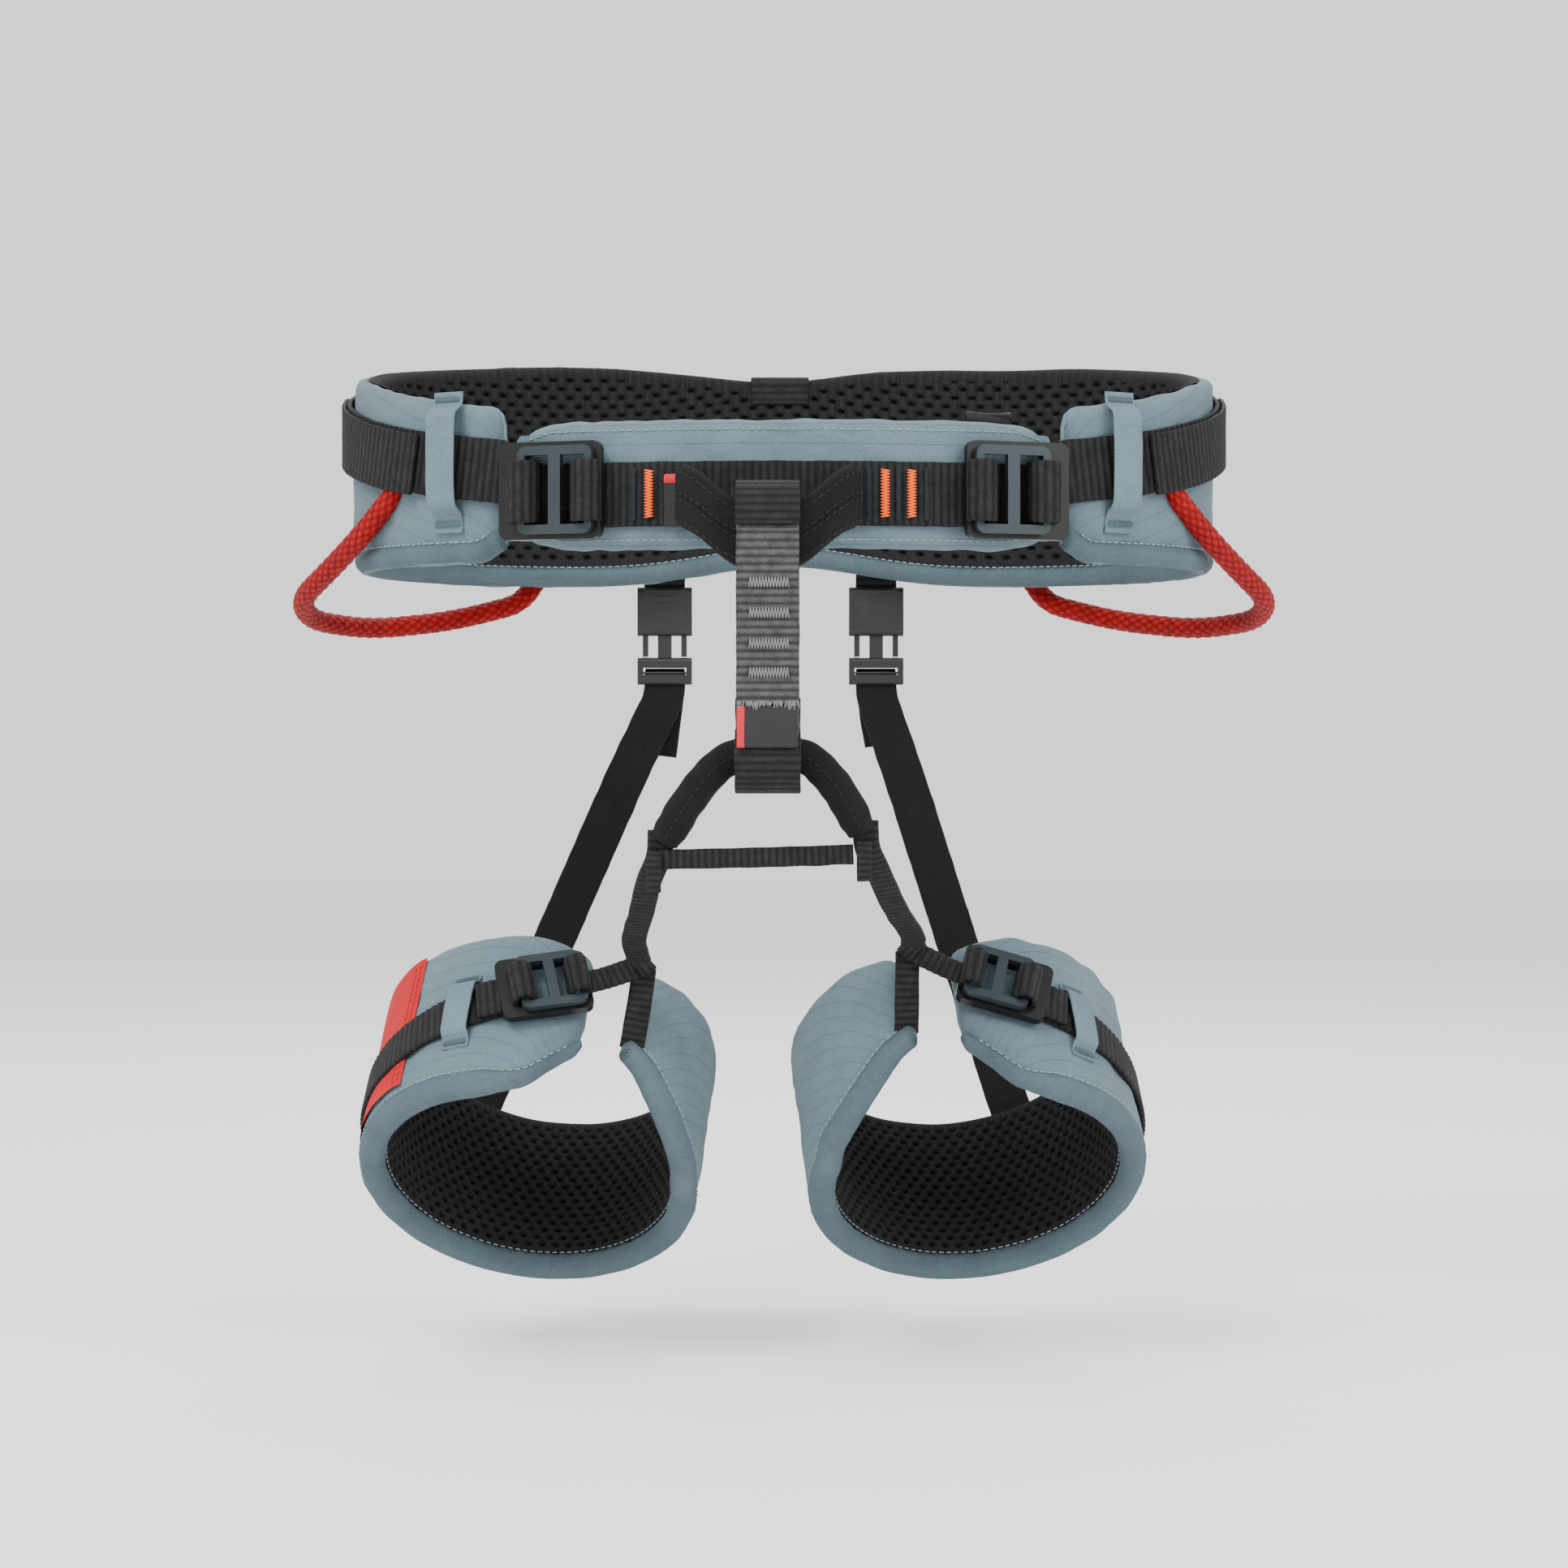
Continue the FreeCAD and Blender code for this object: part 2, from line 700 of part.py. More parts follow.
def make_leg_strap(side):
    """From the lower tie-in down to the junction."""
    routes = {
        "left": [(-38.5, -109.5, -115), (-42.5, -100, -123), (-45, -85, -133), (-49, -64, -143)],
        "right": [(25.5, -109.5, -112), (30, -100, -121), (35, -85, -132), (42, -64, -142)],
    }
    points = [Vector(*p) for p in routes[side]]
    meet = leg_place(side).multVec(junction(side))
    points.append(meet + Vector(0, -9, 2.5))
    sides = [Vector(1, 0, 0)] * len(points)
    strap = ribbon(points, size("strap_width"), size("strap_thickness"), sides)
    node(feature(f"leg_strap_{side}", strap))


def make_red_panel():
    """A coloured panel on the outer side of the left leg loop."""
    inner = leg_outside() + 0.1
    face = leg_face("left", 250, 308, inner, inner + 0.5, size("leg_pad_bottom"))
    node(extrusion("red_panel", face, Vector(0, 0, 1), "dims.leg_pad_height"), leg_place("left"))


# ---------------------------------------------------------------- risers


def riser_x(side):
    return size("drop_centre") + SIDES[side] * size("riser_half_spacing")


def make_riser(side):
    """An elastic strap from the side-release buckle to the rear of the leg loop."""
    place = leg_place(side)
    gap = leg_outside() + 2
    angle = size(f"riser_{side}_angle")
    end, above = (place.multVec(leg_point(side, angle, gap + extra, z)) for extra, z in ((0, 18), (0.6, 31)))
    start = Vector(riser_x(side), size("side_buckle_y"), -57.2)
    tangent = place.Rotation.multVec(leg_point(side, angle + 90, 1, 0))
    if tangent.x < 0:
        tangent = tangent * -1
    across = Vector(1, 0, 0)
    points = [start, start - Vector(0, 0, 3)]
    sides = [across, across]
    for share, bow in ((0.2, 1.5), (0.45, 3), (0.7, 5), (0.88, 5)):
        points.append(start + (above - start) * share + Vector(0, bow, 0))
        sides.append(across + (tangent - across) * share)
    points += [above, end]
    sides += [tangent, tangent]
    strap = ribbon(points, size("riser_width"), size("riser_thickness"), sides)
    node(feature(f"riser_{side}", strap))


def make_side_buckle(side):
    x, y, top = riser_x(side), size("side_buckle_y"), size("side_buckle_top")
    wide, deep, tall = "dims.side_buckle_width", "dims.side_buckle_thickness", "dims.female_height"
    half = size("female_height") / 2
    shell = rounded_block(f"female_{side}_body", [wide, deep, tall], 2, Vector(1, 0, 0), (0, 0, f"-{half}"))
    cavities = [
        block(f"female_{side}_channel", [f"{wide} - 3", f"{deep} - 3", tall], (0, 0, f"-{half} - 7")),
        block(f"female_{side}_sides", [f"{wide} + 2", f"{deep} - 3", tall], (0, 0, f"-{half} - 10")),
        block(f"female_{side}_slot", ["dims.riser_width + 1", 2.4, tall], (0, -0.7, f"{half} - 6")),
    ]
    hollow = fused(f"female_{side}_hollow", cavities)
    place = Placement(Vector(x, y, top), Rotation())
    node(boolean("Cut", f"female_buckle_{side}", shell, hollow), place)
    tab = block(f"belt_tab_{side}", ["dims.riser_width", "dims.webbing_thickness", "dims.tab_height"])
    tab.setExpression(".Placement.Base.x", f"{x} - dims.riser_width / 2")
    tab.setExpression(".Placement.Base.y", f"{y} - 0.7 - dims.webbing_thickness / 2")
    tab.setExpression(".Placement.Base.z", f"{top} - 5.5")
    node(tab)
    make_male(side, Placement(Vector(x, y, top - 26), Rotation()))


def make_male(side, place):
    """A bar with a slot for the riser, a tongue up its middle and a sprung arm on each side."""
    wide, deep, tall = "dims.side_buckle_width", "dims.male_thickness", "dims.male_height"
    base = rounded_block(f"male_{side}_body", [wide, deep, tall], 1.5, Vector(1, 0, 0),
                         (0, 0, f"-{tall} / 2"))
    tongue = block(f"male_{side}_tongue", [5, "dims.male_thickness - 2", 16], (0, 0, 7.5))
    slot = block(f"male_{side}_slot", ["dims.riser_width + 1", 20, 2.6], (0, 0, -5))
    body = fused(f"male_{side}_solid", [base, tongue])
    node(boolean("Cut", f"male_buckle_{side}", body, slot), place)
    for name, sign in (("outer", SIDES[side]), ("inner", -SIDES[side])):
        deep = "dims.male_thickness - 2"
        shaft = block(f"arm_{side}_{name}_shaft", ["dims.arm_width", deep, "dims.arm_height"],
                      (sign * 7.1, 0, "0.4 + dims.arm_height / 2"))
        head = block(f"arm_{side}_{name}_head", [2.6, deep, 3.4], (sign * 8.4, 0, "dims.arm_height - 2.4"))
        node(fused(f"arm_{side}_{name}", [shaft, head]), place)


# ---------------------------------------------------------------- gear loops


def gear_route(sign):
    """A gear loop's centre line, from under the waist webbing to the rear hem."""
    points = [
        (132, -49, 0),
        (139, -40, -10),
        (151, -25, -20),
        (165, -4, -30),
        (164, 17, -36),
        (146, 42, -38),
        (119, 62, -34),
        (93, 72, -27),
    ]
    return [Vector(sign * x, y, z) for x, y, z in points]


def make_gear_loops():
    for side, sign in SIDES.items():
        node(feature(f"gear_loop_{side}", tube(gear_route(sign), size("gear_loop_radius"))))


# ---------------------------------------------------------------- the whole


def check_and_export():
    doc.recompute()
    failed = [o.Label for o in doc.Objects if {"Invalid", "Error"} & set(o.State)]
    if failed:
        raise SystemExit(f"these objects failed: {failed}")
    os.makedirs("parts", exist_ok=True)
    for item in nodes:
        if item.Shape.isNull() or not item.Shape.isValid():
            raise SystemExit(f"{item.Label} has no valid shape")
    for item in nodes:
        item.Shape.exportStep(f"parts/{item.Label}.step")
    print(len(nodes), "sub-parts")


fill_sheet()
make_belt()
make_front_pad()
make_waist_webbing()
make_keepers()
make_waist_buckles()
make_upper_tie_in()
make_belay_loop()
make_lower_tie_in()
make_cross_strap()
for side in SIDES:
    make_leg_pad(side)
    make_leg_webbing(side)
    make_leg_buckle(side)
    make_leg_branch(side)
    make_leg_strap(side)
    make_riser(side)
    make_side_buckle(side)
make_red_panel()
make_gear_loops()
check_and_export()
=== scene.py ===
import math

import bpy
import numpy as np
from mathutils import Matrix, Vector


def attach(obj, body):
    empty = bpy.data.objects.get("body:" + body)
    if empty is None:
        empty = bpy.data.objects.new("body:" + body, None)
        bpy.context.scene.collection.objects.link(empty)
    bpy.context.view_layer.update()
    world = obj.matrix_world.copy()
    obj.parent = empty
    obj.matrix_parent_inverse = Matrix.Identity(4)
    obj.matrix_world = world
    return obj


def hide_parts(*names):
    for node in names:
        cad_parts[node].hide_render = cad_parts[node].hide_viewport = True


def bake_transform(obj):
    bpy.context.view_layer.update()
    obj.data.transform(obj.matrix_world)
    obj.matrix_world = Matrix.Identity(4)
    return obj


# A sit harness for climbing. Lengths in this script are millimetres until a mesh is made.
# Left and right are those of the front view, as in the CAD.

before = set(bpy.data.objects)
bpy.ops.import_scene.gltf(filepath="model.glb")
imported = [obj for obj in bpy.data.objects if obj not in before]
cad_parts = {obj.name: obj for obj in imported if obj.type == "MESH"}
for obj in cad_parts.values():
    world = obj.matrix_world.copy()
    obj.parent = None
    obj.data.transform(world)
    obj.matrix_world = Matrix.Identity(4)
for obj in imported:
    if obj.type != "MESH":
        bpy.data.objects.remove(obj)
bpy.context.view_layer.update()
SIDES = {"left": -1, "right": 1}
TAU = 2 * math.pi
MIDDLE_X = -5.0  # of the belay loop and of the two side-release buckles
BUCKLE_REACH = 39  # from there to each side-release buckle

# ---------------------------------------------------------------- materials


class Finish:
    """A material's node graph, around its Principled shader."""

    def __init__(self, name, color, roughness, slot, metallic=0.0, sheen=0.0):
        self.slot = slot
        self.color = np.array(color)
        self.material = bpy.data.materials.new(name)
        self.material.use_nodes = True
        self.tree = self.material.node_tree
        self.shader = self.tree.nodes["Principled BSDF"]
        self.shader.inputs["Base Color"].default_value = (*color, 1)
        self.shader.inputs["Roughness"].default_value = roughness
        self.shader.inputs["Metallic"].default_value = metallic
        self.shader.inputs["Sheen Weight"].default_value = sheen
        self.shader.inputs["Sheen Roughness"].default_value = 0.4
        self.shader.inputs["Specular IOR Level"].default_value = 0.5 if metallic or not sheen else 0.15

    def put(self, socket, value):
        if isinstance(value, bpy.types.NodeSocket):
            self.tree.links.new(value, socket)
        else:
            socket.default_value = value

    def math(self, operation, a, b=0.0):
        node = self.tree.nodes.new("ShaderNodeMath")
        node.operation = operation
        self.put(node.inputs[0], a)
        self.put(node.inputs[1], b)
        return node.outputs[0]

    def along_and_across(self):
        """The surface's own coordinates in millimetres."""
        place = self.tree.nodes.new("ShaderNodeUVMap")
        place.uv_map = "UVMap"
        parts = self.tree.nodes.new("ShaderNodeSeparateXYZ")
        self.tree.links.new(place.outputs[0], parts.inputs[0])
        return parts.outputs[0], parts.outputs[1]

    def wave(self, distance, pitch, phase=0.0):
        turn = self.math("MULTIPLY_ADD", distance, TAU / pitch)
        turn.node.inputs[2].default_value = phase
        return self.math("SINE", turn)

    def noise(self, scale, detail=3.0):
        """Uneven patches about 1/scale metres across, from 0 to 1."""
        place = self.tree.nodes.new("ShaderNodeTexCoord")
        node = self.tree.nodes.new("ShaderNodeTexNoise")
        node.inputs["Scale"].default_value = scale
        node.inputs["Detail"].default_value = detail
        self.tree.links.new(place.outputs["Object"], node.inputs["Vector"])
        return node.outputs["Fac"]

    def attribute(self, name):
        node = self.tree.nodes.new("ShaderNodeAttribute")
        node.attribute_name = name
        return node.outputs["Fac"]

    def tint(self, share, dark, light):
        """The base colour runs from dark to light times the finish's own colour."""
        node = self.tree.nodes.new("ShaderNodeMix")
        node.data_type = "RGBA"
        self.put(node.inputs["Factor"], share)
        colours = [socket for socket in node.inputs if socket.type == "RGBA"]
        colours[0].default_value = (*np.minimum(self.color * dark, 1), 1)
        colours[1].default_value = (*np.minimum(self.color * light, 1), 1)
        result = [socket for socket in node.outputs if socket.type == "RGBA"][0]
        self.tree.links.new(result, self.shader.inputs["Base Color"])

    def relief(self, height, depth):
        node = self.tree.nodes.new("ShaderNodeBump")
        node.inputs["Strength"].default_value = 1.0
        node.inputs["Distance"].default_value = depth / 1000
        self.put(node.inputs["Height"], height)
        self.tree.links.new(node.outputs[0], self.shader.inputs["Normal"])


def mean(finish, *shares):
    total = shares[0]
    for share in shares[1:]:
        total = finish.math("ADD", total, share)
    return finish.math("DIVIDE", total, float(len(shares)))


def woven(name, color, slot, thread=0.55, roughness=0.85, patches=0.5, sheen=0.02, depth=0.1):
    """Plain weave with uneven patches."""
    finish = Finish(name, color, roughness, slot, sheen=sheen)
    u, v = finish.along_and_across()
    weave = finish.math("MULTIPLY", finish.wave(u, thread), finish.wave(v, thread))
    uneven = mean(finish, finish.noise(60), finish.noise(900, 4))
    share = finish.math("MULTIPLY_ADD", weave, 0.12)
    finish.put(share.node.inputs[2], uneven)
    finish.tint(share, 1 - patches, 1 + patches)
    finish.relief(finish.math("ADD", weave, uneven), depth)
    return finish


def ripstop(name, color, slot):
    """Light plain weave with raised lines of two kinds, in turn every three millimetres."""
    finish = Finish(name, color, 0.8, slot, sheen=0.04)
    u, v = finish.along_and_across()
    weave = finish.math("MULTIPLY", finish.wave(u, 0.6), finish.wave(v, 0.6))
    dashes = finish.math("GREATER_THAN", finish.wave(u, 1.5), -0.1)
    pale = finish.math("GREATER_THAN", finish.wave(v, 6.4), 0.988)
    dark = finish.math("GREATER_THAN", finish.wave(v, 6.4, math.pi), 0.988)
    pale = finish.math("MULTIPLY", pale, dashes)
    uneven = mean(finish, finish.noise(45), finish.noise(1100, 4))
    share = finish.math("MULTIPLY_ADD", weave, 0.1)
    finish.put(share.node.inputs[2], uneven)
    share = finish.math("ADD", share, finish.math("MULTIPLY", pale, 0.35))
    share = finish.math("SUBTRACT", share, finish.math("MULTIPLY", dark, 0.3))
    finish.tint(share, 0.62, 1.38)
    height = finish.math("ADD", weave, finish.math("ADD", uneven, pale))
    finish.relief(finish.math("SUBTRACT", height, dark), 0.09)
    return finish


def twill(name, color, slot, pitch=0.9):
    """Diagonal ribs, as on elastic and on folded binding."""
    finish = Finish(name, color, 0.85, slot, sheen=0.03)
    u, v = finish.along_and_across()
    rib = finish.wave(finish.math("ADD", u, v), pitch)
    cross = finish.wave(finish.math("SUBTRACT", u, v), pitch * 0.7)
    uneven = mean(finish, finish.noise(70), finish.noise(1000, 4))
    share = finish.math("MULTIPLY_ADD", rib, 0.16)
    finish.put(share.node.inputs[2], uneven)
    finish.tint(share, 0.6, 1.4)
    height = finish.math("MULTIPLY_ADD", cross, 0.4)
    finish.put(height.node.inputs[2], finish.math("ADD", rib, uneven))
    finish.relief(height, 0.12)
    return finish


def webbing_finish(name, color, slot, flecks=2.2):
    """Lengthwise yarns with a few pale flecks; the cross ribs are in the shape, and painted shade darkens the
    grooves between them.
    """
    finish = Finish(name, color, 0.62, slot, sheen=0.01)
    u, v = finish.along_and_across()
    yarn = finish.wave(v, 0.9)
    slub = finish.math("MULTIPLY", yarn, finish.wave(u, 1.3))
    fleck = finish.math("GREATER_THAN", finish.noise(2600, 1), 0.66)
    share = finish.math("MULTIPLY_ADD", slub, 0.2)
    finish.put(share.node.inputs[2], finish.noise(300, 4))
    share = finish.math("ADD", share, finish.math("MULTIPLY", fleck, 0.35))
    # painted shade: the grooves between the cross ribs are darkened
    share = finish.math("MULTIPLY", share, finish.math("SUBTRACT", 1.0, finish.attribute("groove")))
    finish.tint(share, 0.12, flecks)
    finish.relief(finish.math("ADD", slub, finish.noise(1400, 4)), 0.14)
    return finish


def spacer_finish(name, color, slot):
    """Knitted mesh, darker down its holes: painted shade."""
    finish = Finish(name, color, 0.9, slot, sheen=0.01)
    u, v = finish.along_and_across()
    knit = finish.math("MULTIPLY", finish.wave(u, 0.75), finish.wave(v, 0.5))
    # painted shade: the colour falls nearly to black down the holes
    solid = finish.math("SUBTRACT", 1.0, finish.attribute("hole"))
    grain = finish.math("MULTIPLY_ADD", knit, 0.3)
    finish.put(grain.node.inputs[2], finish.noise(1500, 4))
    finish.tint(finish.math("MULTIPLY", grain, solid), 0.05, 2.4)
    finish.relief(grain, 0.16)
    return finish


def braided(name, color, slot):
    """The yarns of a braided tube; their crossings are in the shape, with painted shade in the valleys
    between them.
    """
    finish = Finish(name, color, 0.5, slot, sheen=0.01)
    u, v = finish.along_and_across()
    yarn = finish.wave(finish.math("ADD", u, v), 0.45)
    other = finish.wave(finish.math("SUBTRACT", u, v), 0.45)
    # painted shade in the valleys between the braid's yarns
    share = finish.math("MULTIPLY_ADD", finish.attribute("valley_shade"), -0.7)
    finish.put(share.node.inputs[2], mean(finish, finish.noise(90), finish.noise(1500, 4), 0.9))
    finish.tint(share, 0.35, 1.5)
    finish.relief(finish.math("ADD", yarn, other), 0.08)
    return finish


def hard(name, color, slot, roughness, metallic, grain, depth):
    """Moulded or anodised: faint grain, small scratches in the gloss."""
    finish = Finish(name, color, roughness, slot, metallic)
    fine = finish.noise(grain, 5)
    worn = finish.noise(40, 6)
    gloss = finish.math("MULTIPLY_ADD", worn, 0.25)
    gloss.node.inputs[2].default_value = roughness - 0.12
    finish.put(finish.shader.inputs["Roughness"], gloss)
    finish.tint(mean(finish, fine, worn), 0.75, 1.25)
    finish.relief(fine, depth)
    return finish


LOOKS = {
    "cover": ripstop("cover_fabric", (0.116, 0.174, 0.2), "blue_grey_fabric"),
    "binding": twill("binding_fabric", (0.085, 0.13, 0.155), "blue_grey_fabric", 0.7),
    "hem": twill("hem_fabric", (0.098, 0.148, 0.172), "blue_grey_fabric", 0.6),
    "elastic": twill("keeper_elastic", (0.125, 0.187, 0.218), "grey_elastic", 1.1),
    "mesh": spacer_finish("spacer_mesh", (0.011, 0.011, 0.012), "spacer_mesh"),
    "webbing": webbing_finish("black_webbing", (0.0125, 0.0125, 0.0135), "webbing"),
    "grey_webbing": webbing_finish("grey_webbing", (0.075, 0.0735, 0.071), "belay_webbing", 1.6),
    "sleeve": woven("woven_sleeve", (0.006, 0.006, 0.0065), "tie_in_sleeve", 0.7, 0.8, 0.7, 0.01, 0.14),
    "black_elastic": twill("riser_elastic", (0.0095, 0.0095, 0.009), "black_elastic", 1.0),
    "label": woven("label_satin", (0.02, 0.02, 0.022), "belay_webbing", 0.3, 0.5, 0.3, 0.01, 0.03),
    "red_edge": woven("label_red", (0.5, 0.02, 0.03), "red_fabric", 0.3, 0.6, 0.3, 0.01, 0.03),
    "red_panel": ripstop("red_fabric", (0.5, 0.006, 0.01), "red_fabric"),
    "red_cord": braided("red_braid", (0.5, 0.004, 0.006), "red_cord"),
    "orange": woven("orange_thread", (0.85, 0.1, 0.004), "webbing", 0.4, 0.6, 0.2, 0.02, 0.03),
    "grey_thread": woven("grey_thread", (0.17, 0.17, 0.165), "belay_webbing", 0.4, 0.6, 0.3, 0.02, 0.03),
    "thread": woven("pale_thread", (0.26, 0.3, 0.32), "blue_grey_fabric", 0.4, 0.6, 0.2, 0.02, 0.03),
    "dark_thread": woven("dark_thread", (0.016, 0.021, 0.024), "blue_grey_fabric", 0.4, 0.6, 0.2, 0.02, 0.03),
    "base": hard("anodised_black", (0.006, 0.006, 0.0065), "black_aluminium", 0.32, 0.35, 900, 0.01),
    "plate": hard("anodised_grey", (0.026, 0.036, 0.042), "grey_aluminium", 0.36, 0.5, 1200, 0.012),
    "plastic": hard("moulded_plastic", (0.008, 0.008, 0.0085), "black_plastic", 0.45, 0.0, 2500, 0.03),
}

# ---------------------------------------------------------------- meshes


def unit(v):
    return v / np.maximum(np.linalg.norm(v, axis=-1, keepdims=True), 1e-9)


def lengths(points):
    """Distance along a line of points, from 0."""
    steps = np.linalg.norm(np.diff(points, axis=-2), axis=-1)
    zero = np.zeros(steps.shape[:-1] + (1,))
    return np.concatenate([zero, np.cumsum(steps, -1)], -1)


def ripple(u, v, length, seed):
    """Smooth uneven waves of about that length, mostly from -1 to 1."""
    rng = np.random.default_rng(seed)
    total = 0
    for _ in range(7):
        turn, phase, scale = rng.uniform(0, math.pi), rng.uniform(0, TAU), rng.uniform(0.7, 1.6)
        total = total + np.sin((u * math.cos(turn) + v * math.sin(turn)) * TAU / (length * scale) + phase)
    return total / 4


def smoothstep(t):
    t = np.clip(t, 0, 1)
    return t * t * (3 - 2 * t)


def make_object(name, vertices, loops, starts, uv, look):
    mesh = bpy.data.meshes.new(name)
    mesh.vertices.add(len(vertices))
    mesh.vertices.foreach_set("co", (vertices / 1000).astype(np.float32).ravel())
    mesh.loops.add(len(loops))
    mesh.loops.foreach_set("vertex_index", loops.astype(np.int32))
    mesh.polygons.add(len(starts))
    mesh.polygons.foreach_set("loop_start", starts.astype(np.int32))
    mesh.update(calc_edges=True)
    mesh.uv_layers.new(name="UVMap").data.foreach_set("uv", uv.astype(np.float32).ravel())
    mesh.shade_smooth()
    mesh.materials.append(LOOKS[look].material)
    item = bpy.data.objects.new(name, mesh)
    bpy.context.scene.collection.objects.link(item)
    return item


def rows_object(name, points, look, wrap=True, loop=False, caps=True):
    """A surface over rows of points. wrap closes each row, loop joins the last row to the first."""
    n, m = points.shape[:2]
    i, j = np.meshgrid(np.arange(n if loop else n - 1), np.arange(m if wrap else m - 1), indexing="ij")
    i, j = i.ravel(), j.ravel()
    rows, columns = np.stack([i, i + 1, i + 1, i], 1), np.stack([j, j, j + 1, j + 1], 1)
    around = np.concatenate([points, points[:, :1]], 1) if wrap else points
    around = np.concatenate([around, around[:1]], 0) if loop else around
    across = lengths(around)
    along = lengths(around.mean(1))
    quads = (rows % n) * m + columns % m
    uv = np.stack([along[rows], across[rows, columns]], -1).reshape(-1, 2)
    vertices = points.reshape(-1, 3)
    loops, sizes = quads.ravel(), np.full(len(quads), 4)
    if wrap and caps and not loop:
        ring = np.arange(m)
        after = (ring + 1) % m
        fans = []
        for row, middle in ((0, n * m), (n - 1, n * m + 1)):
            fan = np.stack([np.full(m, middle), row * m + ring, row * m + after], 1)
            fans.append(fan if row == 0 else fan[:, ::-1])
            end = np.stack([np.full(m, along[row]), across[row, :-1]], -1)
            uv = np.concatenate([uv, np.repeat(end, 3, 0)])
        vertices = np.concatenate([vertices, points[0].mean(0)[None], points[-1].mean(0)[None]])
        loops = np.concatenate([loops, *[f.ravel() for f in fans]])
        sizes = np.concatenate([sizes, np.full(2 * m, 3)])
    starts = np.concatenate([[0], np.cumsum(sizes)[:-1]])
    if wrap:
        a, b, c = (vertices[quads[:, k]] for k in range(3))
        d = vertices[quads[:, 3]]
        volume = np.einsum("ij,ij->", a, np.cross(b, c)) + np.einsum("ij,ij->", a, np.cross(c, d))
        if volume < 0:
            loops, uv = flipped(loops, starts, sizes), flipped(uv, starts, sizes)
    return make_object(name, vertices, loops, starts, uv, look)


def flipped(values, starts, sizes):
    """Per-corner values with each face's corners in the opposite order."""
    end = starts + sizes - 1
    index = np.repeat(end + starts, sizes) - np.arange(len(values))
    return values[index]


def route(points, across, radius, step):
    """A line through corner points with rounded corners, in equal steps, and the direction across it."""
    points = np.array(points, float)
    across = np.array(np.broadcast_to(np.array(across, float), points.shape))
    spots, marks = [points[0]], [0.0]
    for k in range(1, len(points) - 1):
        before, after = points[k - 1] - points[k], points[k + 1] - points[k]
        size_in, size_out = np.linalg.norm(before), np.linalg.norm(after)
        reach = min(radius, 0.49 * size_in, 0.49 * size_out)
        first, last = points[k] + before * reach / size_in, points[k] + after * reach / size_out
        for t in np.linspace(0, 1, 9):
            spots.append(first * (1 - t) ** 2 + 2 * points[k] * t * (1 - t) + last * t**2)
            marks.append(k - (1 - t) * reach / size_in + t * reach / size_out if t != 0.5 else float(k))
    spots.append(points[-1])
    marks.append(float(len(points) - 1))
    spots = np.array(spots)
    distance = lengths(spots)
    stops = np.linspace(0, distance[-1], max(2, round(distance[-1] / step) + 1))
    path = np.stack([np.interp(stops, distance, spots[:, k]) for k in range(3)], 1)
    mark = np.interp(stops, distance, marks)
    side = np.stack([np.interp(mark, np.arange(len(points)), across[:, k]) for k in range(3)], 1)
    return path, unit(side)


def swept(path, across, section, loop=False):
    """Rows of points: a section of (across, outward) pairs carried along a line."""
    tangent = unit(np.roll(path, -1, 0) - np.roll(path, 1, 0) if loop else np.gradient(path, axis=0))
    normal = unit(np.cross(tangent, across))
    side = np.cross(normal, tangent)
    section = np.broadcast_to(section, (len(path),) + section.shape[-2:])
    return path[:, None] + side[:, None] * section[..., :1] + normal[:, None] * section[..., 1:]


def flat_section(width, thickness, count=9):
    """A flat strap's section with round edges."""
    radius = thickness / 2
    x = np.linspace(radius - width / 2, width / 2 - radius, count)
    turn = np.radians([50, 0, -50])
    edge = np.stack([width / 2 - radius + np.cos(turn) * radius, np.sin(turn) * radius], 1)
    top = np.stack([x, np.full(count, radius)], 1)
    return np.concatenate([top, edge, -top, -edge])


def strap_rows(path, side, width, thickness, pitch, rib, loop=False, seed=1):
    """Rows of points of webbing with cross ribs on both faces, and the painted shade for the grooves between
    the ribs.
    """
    section = np.repeat(flat_section(width, thickness)[None], len(path), 0)
    distance = lengths(path)[:, None]
    ribs = rib * (0.5 + 0.5 * np.cos(TAU * distance / pitch)) if pitch else 0 * distance
    # painted shade for the grooves between the ribs, strongest at their bottoms
    groove = (0.85 * (1 - ribs / rib) ** 2 if pitch and rib else ribs) * np.ones(section.shape[1])
    edge = 0.12 * ripple(distance, section[..., 0], 9, seed)
    section[..., 1] += np.sign(section[..., 1]) * np.where(np.abs(section[..., 1]) > 0.3, ribs, 0)
    section[..., 0] += edge * np.sign(section[..., 0]) * (np.abs(section[..., 0]) > width / 2 - 1)
    return swept(path, side, section, loop), groove


def mark(item, name, values):
    """A number for each of the first vertices of a mesh, for its finish to read."""
    full = np.zeros(len(item.data.vertices), np.float32)
    full[: values.size] = values.ravel()
    item.data.attributes.new(name, "FLOAT", "POINT").data.foreach_set("value", full)
    return item


def webbing_object(name, path, side, width, thickness, pitch, rib, look, loop=False, seed=1, caps=True):
    rows, groove = strap_rows(path, side, width, thickness - 2 * rib, pitch, rib, loop, seed)
    # the grooves' painted shade goes to the finish in the groove attribute
    return mark(rows_object(name, rows, look, loop=loop, caps=caps), "groove", groove)


def ride(item, body, *nodes):
    """item moves with a CAD body and stands for these CAD nodes."""
    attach(item, body)
    if nodes:
        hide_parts(*nodes)
    return item


def strap(name, points, width, thickness, look, body, nodes=(), across=(1, 0, 0), radius=6.0,
          step=0.45, pitch=2.6, rib=0.32, seed=1):
    path, side = route(points, across, radius, step)
    return ride(webbing_object(name, path, side, width, thickness, pitch, rib, look, seed=seed), body, *nodes)


